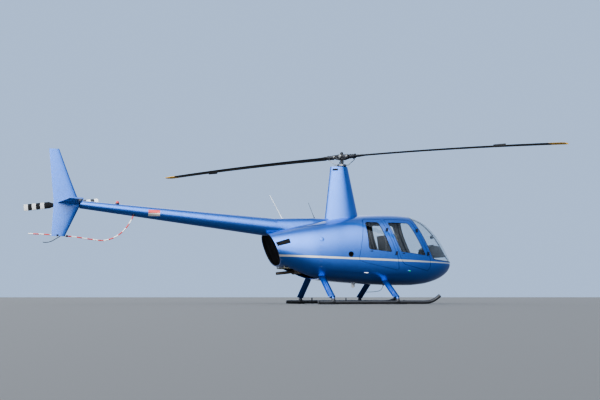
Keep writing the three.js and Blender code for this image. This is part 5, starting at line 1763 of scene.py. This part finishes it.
skid_paint = finish("worn_skid_coating", (0.032, 0.033, 0.037), 0.42, 0.3, 0.15, tone=(0.3, 120),
    grain=(0.2, 3), pattern=worn_below)
shoe_rows = ((-0.86, -0.48), (0.56, 1.02))
shoe_half, shoe_tip, shoe_height, shoe_slope = 0.026, 0.022, 0.014, 0.007
pin_x = -0.32


def on_skid(x, y, z):
    """A place measured from the right skid's middle line."""
    return here(x, y - skid_side, z + skid_z)


skid_line = [on_skid(x, 0, z) for x, z in ((-0.915, 0), (0, 0), (1.18, 0), (1.44, 0), (1.56, 0.014),
    (1.68, 0.066), (1.775, 0.178 - skid_z))]
tip_way = (skid_line[-1] - skid_line[-2]).normalized()
skid = plus(tube(skid_line, skid_radius, 170, 32),
    lathe([(0, 36), (3, 37.2), (18, 37.2), (22, 33), (24, 10)], skid_line[-1] - tip_way * 0.021,
    skid_line[-1] + tip_way * 0.003, 32), lathe([(0, 36), (3, 37.2), (16, 37.2), (20, 33), (22, 10)],
    skid_line[0] - backward * 0.018, skid_line[0] + backward * 0.004, 32))
shoes, skid_bolts = [], []
for x0, x1 in shoe_rows:
    outline = [(x0, shoe_slope), (x0 + shoe_tip, 0), (x1 - shoe_tip, 0), (x1, shoe_slope),
        (x1, shoe_height), (x0, shoe_height)]
    sole = prism([(x + mast_x, z) for x, z in outline], -skid_side - shoe_half, shoe_half - skid_side)
    shoes.append(softened(sole, 0.002))
    for x in (x0 + 0.06, x1 - 0.06):
        shoes.append(lathe([(0, 36), (1, 38.5), (23, 38.5), (24, 36)], on_skid(x - 0.012, 0, 0.0025),
            on_skid(x + 0.012, 0, 0.0025), 32))
        skid_bolts += [(on_skid(x, y * 0.0385, 0), (0, y, 0)) for y in ends]
for x, _ in cross_tubes.values():
    cradle = softened(block(on_skid(x - 0.055, -0.04, -0.01), on_skid(x + 0.055, 0.04, 0.034), 0.012),
        0.003)
    socket = lathe([(0, 46), (4, 47), (20, 41), (46, 38), (50, 34)], on_skid(x, 0, 0.03),
        here(x, -skid_side, tube_foot_z + 0.03), 32)
    skid = plus(skid, cradle, socket)
    skid_bolts += [(on_skid(x + dx, y * 0.04, 0.014), (0, y, 0)) for dx in (-0.04, 0.04) for y in ends]
pin = lathe([(0, 20), (40, 22), (44, 14), (88, 14), (94, 11), (96, 6)], on_skid(pin_x, 0, 0),
    on_skid(pin_x, 0, 0.096), 24)
skid = plus(skid, pin)
pair(skid, "*_skid_tube", skid_paint, "*_skid")
pair(joined(shoes), "*_skid_shoes", mast_steel)
skid_bolts += across(skid_bolts)
place(heads(skid_bolts, 0.007, 0.0055, bare_metal, 6), "skid_bolts")
print("skid", len(skid.polygons), "faces", len(skid_bolts), "bolts")

# %% [markdown]
# ## Aerials, lights and small fittings
# A white aerial leans back on the boom, a thin whip stands behind the mast, and below hang
# a white blade and a bent wire. The side lights are small domes on teardrop bases.

# %% Aerials
aerial_white = finish("aerial_white", (0.7, 0.7, 0.68), 0.35, coat=0.3, tone=(0.06, 50),
    grain=(0.05, 1))
whip_black = finish("whip_black", (0.01, 0.01, 0.01), 0.5, tone=(0.3, 30), grain=(0.05, 1))
aerial_x = -1.345 + mast_x
foot = Vector((aerial_x, 0, boom_height(aerial_x) + boom_radius(aerial_x)))
base = lathe([(0, 27), (55, 27), (62, 24), (75, 17), (84, 12)], foot - upward * 0.058,
    foot + upward * 0.026, 32)
stem_foot, stem_top = foot + upward * 0.008, here(-1.62, 0, 2.29)
stem_length = (stem_top - stem_foot).length * 1000
stem = lathe([(0, 9), (50, 8.4), (300, 6), (stem_length - 4, 4), (stem_length, 2)], stem_foot, stem_top,
    20)
space = plus(boom_space, saddle_solid)
put(largest(minus(plus(base, stem), space)), "radio_aerial_rod", aerial_white,
    "radio_aerial")
whip_base = lathe([(0, 16), (12, 16), (16, 12), (30, 10), (33, 8)], here(-0.63, 0, 1.815),
    here(-0.63, 0, 1.848), 28)
whip = lathe([(0, 5), (60, 4.6), (340, 3), (346.2, 1.6)], here(-0.632, 0, 1.836),
    here(-0.764, 0, 2.156), 14)
put(largest(minus(plus(whip_base, whip), space)), "whip_aerial_rod", whip_black,
    "whip_aerial")
belly_blade = loft([wing_ring(here(0.25 + chord * 0.5, 0, z), backward, leftward, chord, thickness, 16)
    for z, chord, thickness in ((0.48, 0.104, 0.02), (0.43, 0.088, 0.014), (0.352, 0.064, 0.0105),
    (0.346, 0.056, 0.006))])
put(largest(minus(belly_blade, skin_body)), "belly_blade", aerial_white,
    "belly_blade_aerial", sharpest=50)
wire = tube([at(x, 0, z) for x, z in ((950, 440), (938, 370), (880, 292), (740, 262), (560, 252))],
    0.0045, 60, 12)
wire_end = lathe([(0, 4), (1, 6), (10, 6), (12, 3)], at(565, 0, 252.2), at(553, 0, 251.7), 16)
puck = lathe([(0, 17), (30, 17), (34, 14), (38, 12)], at(950, 0, 430), at(950, 0, 392), 28)
put(largest(minus(plus(wire, wire_end, puck), skin_body)), "belly_wire", whip_black,
    "belly_whip_aerial")

# %% Side lights and sill vents
green_lens = finish("green_lens", (0.02, 0.42, 0.16), 0.12, coat=1.0, tone=(0.15, 20))
light_x, light_z = mast_x + 1.31, 0.7
sill_vent_x, sill_vent_z = mast_x + 0.33, 0.655


def dome(centre, forward, up, out, length, height, depth, steps=9, sides=32):
    """Half an egg standing on the skin, longer behind than ahead."""
    rings = []
    for k in range(steps + 1):
        t = min(k / steps, 0.995)
        share = math.sqrt(1 - t * t)
        rings.append([centre + out * depth * t + forward * length * (1.0 if c > 0 else 1.35) * share * c
            + up * height * share * s for c, s in circle(sides)])
    rings.insert(0, [p - out * 0.004 for p in rings[0]])
    return loft(rings)


for side, sign, slot, lens in (("right", -1, "green_lens", green_lens),
        ("left", 1, "red_lens", red_lens)):
    spot, forward, up, out = skin_frame(light_x, light_z, sign)
    put(dome(spot - forward * 0.004, forward, up, out, 0.036, 0.021, 0.01), f"{side}_light_base",
        plain_blue, sharpest=50)
    put(dome(spot + forward * 0.004 + out * 0.006, forward, up, out, 0.02, 0.0145, 0.0155),
        f"{side}_light_lens", lens, f"{side}_position_light", sharpest=50)
    put(dome(*skin_frame(sill_vent_x, sill_vent_z, sign), 0.046, 0.011, 0.01), f"{side}_sill_vent",
        aerial_white, sharpest=50)
print("aerials and lights done")

# %% [markdown]
# ## Inside the cabin
# Four seats, a carpeted floor, an instrument pod and one control stick show through the
# glass. The floor and the rear wall keep their frame shapes and only get new finishes. Each
# door also closes on a rubber seal, which keeps daylight out of the gap round it.

# %% Carpet, liner and door seals
carpet = finish("cabin_carpet", (0.055, 0.057, 0.063), 0.95, tone=(0.35, 12), grain=(1.5, 1.6))
liner = finish("cabin_liner", (0.19, 0.187, 0.183), 0.8, tone=(0.15, 50), grain=(0.3, 1.2))
pod_plastic = finish("pod_plastic", (0.045, 0.047, 0.052), 0.55, tone=(0.2, 100), grain=(0.3, 1.2))
for name, material in (("cabin_floor", carpet), ("cabin_bulkhead", liner)):
    fitted = frame["nodes"][name]
    fitted.data.materials.clear()
    fitted.data.materials.append(material)
seal_layer = layer(wall + 0.0008, wall + 0.0065)
for end, (outline, _) in door_parts.items():
    seal = minus(piece_of(seal_layer, grown(outline, 0.016)), prism(grown(outline, -0.014), *side_zone))
    pair(seal, f"*_{end}_door_seal", rubber)
print("seal", len(seal.polygons), "faces")

# %% [markdown]
# ## Cushions by simulation
# A cushion is a cover with foam pushing out from inside. Blender's cloth does the same with
# its pressure setting: a closed shape swells, its faces crown and its corners pull in. The
# shape is remeshed first so that every cell is alike. How far a point moves is capped, and
# the side that rests on a panel is pressed flat again. Seams come after the swelling.

# %% Swell a closed shape like a stuffed cover
cushion_swell, cushion_cell = 0.024, 0.0105
cloth_steps, cloth_pressure = 20, 4.0


def swollen(mesh, rest_point, rest_way):
    """A cushion from a closed shape; rest_way points into the panel that it lies on."""
    holder = as_object(mesh, "cover")
    remesh = holder.modifiers.new("cells", "REMESH")
    remesh.mode, remesh.voxel_size = "VOXEL", cushion_cell
    start = plain_copy(holder)
    bpy.data.objects.remove(holder)
    points = table_of(start.vertices, "co")
    holder = as_object(start, "cover")
    cloth = holder.modifiers.new("cloth", "CLOTH")
    cloth.settings.use_pressure = True
    cloth.settings.uniform_pressure_force = cloth_pressure
    cloth.settings.effector_weights.gravity = 0.0
    for step in range(1, cloth_steps + 1):
        bpy.context.scene.frame_set(step)
    change = table_of(plain_copy(holder).vertices, "co") - points
    holder.modifiers.remove(cloth)
    bpy.context.scene.frame_set(1)
    size = np.maximum(np.linalg.norm(change, axis=1), 1e-9)
    points += change * (np.minimum(size, cushion_swell) / size)[:, None]
    way = np.array(rest_way) / np.linalg.norm(rest_way)
    depth = (points - np.array(rest_point)) @ way
    points -= np.outer(np.maximum(depth, 0), way)
    start.vertices.foreach_set("co", points.ravel())
    finer = holder.modifiers.new("finer", "SUBSURF")
    finer.levels = finer.render_levels = 1
    out = plain_copy(holder)
    bpy.data.objects.remove(holder)
    return out


def sewn(mesh, face_way, lines, depth=0.008, width=0.007):
    """Pulls channels into the face that looks along face_way; lines are places in Y."""
    points, normals = table_of(mesh.vertices, "co"), table_of(mesh.vertices, "normal")
    way = np.array(face_way) / np.linalg.norm(face_way)
    facing = np.clip((normals @ way - 0.3) / 0.4, 0, 1)
    for y in lines:
        points -= np.outer(depth * np.exp(-((points[:, 1] - y) / width) ** 2) * facing, way)
    mesh.vertices.foreach_set("co", points.ravel())
    mesh.update()
    return mesh


def surface_of(mesh):
    return BVHTree.FromPolygons([v.co for v in mesh.vertices],
        [tuple(p.vertices) for p in mesh.polygons])


def piping(mesh, centre, face_way, half_width, half_height, lift=0.004, radius=0.0045, count=144):
    """A corded edge that lies on the cushion where its face meets its sides."""
    tree = surface_of(mesh)
    face_way = Vector(face_way).normalized()
    up = face_way.cross(leftward)
    loop = []
    for c, s in circle(count):
        spot = (centre + leftward * math.copysign(abs(c) ** 0.34, c) * half_width + up
            * math.copysign(abs(s) ** 0.34, s) * half_height + face_way * lift)
        loop.append(tree.find_nearest(spot)[0])
    rings = [ring_about(p, loop[(i + 1) % count] - loop[i - 1], radius, 10, 1.0, face_way) for i,
        p in enumerate(loop)]
    return loft(rings + rings[:2])


def strap(mesh, line, width=0.046, lift=0.0012, thickness=0.0018, count=44):
    """Flat webbing that lies on a cushion along a line."""
    tree = surface_of(mesh)
    spots = smooth_line(line, count)
    rings = []
    for i, p in enumerate(spots):
        along = spots[min(i + 1, count - 1)] - spots[max(i - 1, 0)]
        side = along.cross(tree.find_nearest(p)[1]).normalized()
        touched = [tree.find_nearest(p + side * width * share)[:2] for share in np.linspace(-0.5, 0.5,
            7)]
        rings.append([spot + out * (lift + thickness) for spot, out in touched]
            + [spot + out * lift for spot, out in touched[::-1]])
    return loft(rings)


# %% [markdown]
# The four seats have the same parts: a box below, a back panel, a cushion and a back
# cushion, each with two sewn channels and corded edges. One table of side-view outlines
# makes the front and the rear seat, and the left ones are their mirror images.

# %% Seats with cushions and harnesses
def worn_leather(tree, where, shade):
    worn = ramp(tree, noise(tree, where, 0.09, 5.0), 0.52, 0.75, 0.0, 0.3)
    return mixed(tree, worn, shade, (0.26, 0.235, 0.21, 1))


seat_leather = finish("seat_leather", (0.19, 0.174, 0.158), 0.52, tone=(0.12, 50), grain=(0.7, 2.8),
    pattern=worn_leather)
piping_leather = finish("seat_piping", (0.06, 0.056, 0.052), 0.5, tone=(0.2, 20), grain=(0.3, 2))
webbing = finish("harness_webbing", (0.03, 0.031, 0.036), 0.75, tone=(0.25, 4), grain=(0.6, 1.2))
seat_sides = (-0.498, -0.057)
seat_middle = sum(seat_sides) / 2
welt_half_width, welt_behind = 0.216, 0.07
seat_rows = {"front": {"box": [(1095, 621), (1590, 621), (1600, 792, 15), (1105, 792, 15)],
    "panel": [(1096, 780), (1122, 780), (1032, 1492, 10), (1004, 1492, 10)],
    "cushion": [(1130, 793, 8), (1580, 793, 20), (1574, 858, 26), (1196, 834, 20), (1130, 838, 15)],
    "back": [(1124, 862, 15), (1178, 866, 22), (1080, 1478, 26), (1040, 1478, 15)]},
    "rear": {"box": [(65, 621), (690, 621), (698, 792, 15), (65, 792, 15)],
    "panel": [(62, 792), (156, 792), (98, 1468, 10), (62, 1468, 10)],
    "cushion": [(210, 793, 8), (680, 793, 20), (674, 845, 26), (284, 820, 20), (210, 824, 15)],
    "back": [(158, 846, 15), (256, 850, 25), (182, 1452, 26), (106, 1452, 15)]}}
cabin_space = body(0.041)


def seat_solid(rows, margin=0.0):
    return within(prism(at_mast(rows), seat_sides[0] + margin, seat_sides[1] - margin), cabin_space)


def corners(rows):
    """The corners of an outline as places in the middle plane."""
    return [Vector((x, 0, z)) for x, z, *_ in at_mast(rows)]


def at_right_angle(way):
    return Vector((way.z, 0, -way.x))


channels = [seat_middle - 0.078, seat_middle + 0.078]
to_middle = leftward * seat_middle
for end, rows in seat_rows.items():
    seat_corners, back_corners = corners(rows["cushion"]), corners(rows["back"])
    box = joined([softened(seat_solid(rows["box"]), 0.006), softened(seat_solid(rows["panel"]), 0.004)])
    up = (back_corners[2] - back_corners[1]).normalized()
    ahead = at_right_angle(up)
    rest_way = -at_right_angle((back_corners[3] - back_corners[0]).normalized())
    cushion = sewn(swollen(seat_solid(rows["cushion"], 0.01), seat_corners[0], -upward), upward,
        channels)
    back_pad = sewn(swollen(seat_solid(rows["back"], 0.01), back_corners[0], rest_way), ahead, channels)
    (x0, _, _), (x1, _, z1), (x2, _, z2) = seat_corners[1:4]
    seat_centre = Vector(((x0 + x2 - welt_behind) / 2, seat_middle, (z1 + z2) / 2 + 0.002))
    back_centre = (back_corners[1] + back_corners[2]) / 2 + to_middle
    back_half = (back_corners[2] - back_corners[1]).length / 2
    welts = [piping(cushion, seat_centre, upward, welt_half_width, (x0 - x2 + welt_behind) / 2),
        piping(back_pad, back_centre, ahead, welt_half_width, back_half)]
    shoulder = [back_centre + up * back_half * a + leftward * y + ahead * 0.03 for a,
        y in ((1.04, -0.165), (0.6, -0.11), (0.0, -0.01), (-0.6, 0.11), (-1.0, 0.19))]
    hip_x = back_corners[1].x
    lap = [Vector((hip_x + dx, y + seat_middle, seat_centre.z + 0.03)) for dx,
        y in ((0.02, -0.215), (0.075, -0.1), (0.08, 0.08), (0.03, 0.205))]
    buckle = block((hip_x + 0.004, seat_sides[1] - 0.052, seat_centre.z + 0.004),
        (hip_x + 0.052, seat_sides[1] - 0.004, seat_centre.z + 0.03), 0.006)
    name = f"*_{end}_seat"
    pair(box, f"{name}_box", liner)
    for seat in pair(cushion, f"{name}_cushion", seat_leather, name, 60):
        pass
    for rest in pair(back_pad, f"{name}_back_cushion", seat_leather, sharpest=60):
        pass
    pair(joined(welts), f"{name}_piping", piping_leather, sharpest=60)
    pair(joined([strap(back_pad, shoulder), strap(cushion, lap)]), f"{name}_harness",
        webbing)
    pair(buckle, f"{name}_buckle", bare_metal)
    print(end, "cushion", len(cushion.polygons), "back", len(back_pad.polygons), "faces")

# %% [markdown]
# ## Instrument pod and controls
# The pod stands on a pedestal between the pilots' feet, with round dials on the side that
# faces the seats. A dial is a sunk disc in a ring, with small ticks set by the node tree.

# %% Instrument pod with dials
dial_black = finish("dial_face", (0.008, 0.008, 0.009), 0.35, coat=0.6, tone=(0.2, 20))
dial_white = finish("dial_marks", (0.62, 0.62, 0.58), 0.5, tone=(0.1, 10))
dial_pitch, dial_count, tick_count = 0.078, 5, 24
pod_lower = prism(at_mast([(2090, 621), (2060, 1015), (1890, 1015), (1880, 621)]), -0.122, 0.122)
pod_upper = within(prism(at_mast([(2355, 1020, 20), (2200, 1255, 40), (2040, 1275, 30),
    (1905, 1180, 20), (1850, 1000, 20)]), -0.213, 0.213), cabin_space)
hood = within(prism(at_mast([(1880, 1172, 4), (1892, 1190, 6), (2036, 1288, 25), (2080, 1286, 10),
    (2040, 1270, 20), (1906, 1172, 4)]), -0.219, 0.219), cabin_space)
pod = plus(softened(pod_lower, 0.008), softened(pod_upper, 0.01), softened(hood, 0.003))


def panel_frame(low, high):
    """Up and outward directions of a panel that leans back."""
    up = (high - low).normalized()
    return up, -at_right_angle(up)


panel_low, panel_high = at(1853.5, 0, 1012), at(1902, 0, 1170)
panel_up, panel_out = panel_frame(panel_low, panel_high)
plates = [across_box((panel_low + panel_high) / 2 + panel_out * 0.001, leftward, panel_up, panel_out,
    0.4, 0.158, 0.007, 0.002)]
faces, ticks, pointers = [], [], []
for level, lift in enumerate((0.04, 0.12)):
    for k in range(dial_count):
        centre = panel_low + panel_up * lift + leftward * (k - 2) * dial_pitch + panel_out * 0.0045
        plates.append(washer([(28.5, -1), (29, -4), (34.5, -4), (36, 0.5), (28.5, 0.5)], centre,
            panel_out, 32))
        faces.append(rod(centre - panel_out * 0.002, centre + panel_out * 0.0008, 0.0288, 32))
        ticks += [(centre + (leftward * c + panel_up * s) * 0.0235 + panel_out * 0.0008, panel_out)
            for c, s in circle(tick_count)]
        sweep = 0.7 + 1.1 * k + 2.0 * level
        way = leftward * math.cos(sweep) + panel_up * math.sin(sweep)
        pointers.append(across_box(centre + way * 0.007 + panel_out * 0.0016, way, panel_out.cross(way),
            panel_out, 0.026, 0.002, 0.0008, 0.0002))
knobs = []
radio_low = at(1880.5, 0, 660)
radio_up, radio_out = panel_frame(radio_low, at(1888.5, 0, 985))
for k in range(5):
    centre = radio_low + radio_up * (0.035 + 0.062 * k)
    plates.append(across_box(centre, leftward, radio_up, radio_out, 0.16, 0.054, 0.014, 0.003))
    for spot in (centre - leftward * 0.066, centre + leftward * 0.066):
        knobs.append(lathe([(0, 10), (1, 10.5), (12, 9.5), (14, 8)], spot, spot + radio_out * 0.022,
            20))
put(pod, "instrument_pod", pod_plastic, "instrument_console")
for meshes, name, material in ((plates, "pod_plates", black_metal), (faces, "dial_faces", dial_black),
        (pointers, "dial_pointers", dial_white), (knobs, "radio_knobs", bare_metal)):
    put(joined(meshes), name, material)
place(heads(ticks, 0.0009, 0.0006, dial_white, 6), "dial_ticks")
print("dials", len(faces), "ticks", len(ticks))

# %% Control stick, collective levers, pedals and compass
stick_x, bar_x = 1720, 1660
boot = lathe([(0, 40), (12, 40), (16, 34), (26, 37), (34, 29), (44, 31), (52, 22), (62, 18)],
    at(stick_x, 0, 620.3), at(stick_x - 5, 0, 682), 32)
column = tube([at(stick_x, 0, 626), at(stick_x - 15, 0, 800), at(bar_x, 0, 1010)], 0.016, 40, 24)
bar = rod(at(bar_x, -330, 1010), at(bar_x, 330, 1010), 0.0135, 24)
pivot = rod(at(bar_x, -30, 1010), at(bar_x, 30, 1010), 0.022, 28)
grips = []
for y in (-318, 318):
    top = at(bar_x, y, 1130)
    grips.append(lathe([(0, 10), (5, 16.5), (30, 16.8), (48, 14), (62, 16.8), (80, 14.2), (94, 16.8),
        (112, 15), (130, 16.8), (190, 15), (200, 10)], top, at(bar_x, y, 930), 24))
    grips.append(rod(top - upward * 0.002, top + upward * 0.006, 0.006, 16))
put(plus(column, boot, bar, pivot), "control_stick", mast_steel, "cyclic_stick")
put(joined(grips), "stick_grips", rubber)
levers, pads = [], []
for y in (-30, 30):
    levers.append(rod(at(1150, y, 700), at(1480, y, 930), 0.0105, 20))
    pads.append(rod(at(1480, y, 930), at(1585, y, 1003), 0.016, 24))
for y in (-325, -205, 205, 325):
    low, high = at(2085, y, 622), at(2045, y, 745)
    levers.append(rod(low, high, 0.0075, 16))
    pads.append(across_box(high, leftward, *panel_frame(low, high), 0.075, 0.06, 0.01, 0.004))
put(joined(levers), "levers_and_pedal_arms", bare_metal)
put(joined(pads), "lever_grips_and_pedals", rubber)
compass_z = 1.475
nose_rows = body_table[body_table[:, 0] > mast_x + 1.2]
compass_x = np.interp(-compass_z, -nose_rows[:, 2], nose_rows[:, 0])
compass_spot = Vector((compass_x - 0.055, 0, compass_z - 0.01))
compass = lathe([(0, 20), (4, 30), (12, 34), (50, 34), (58, 30), (62, 18)], compass_spot - forward_way
    * 0.031, compass_spot + forward_way * 0.031, 36)
arm = rod(compass_spot + Vector((0.01, 0, 0.02)), compass_spot + Vector((0.03, 0, 0.062)), 0.008, 16)
put(plus(compass, arm), "compass", pod_plastic)
print("controls done")
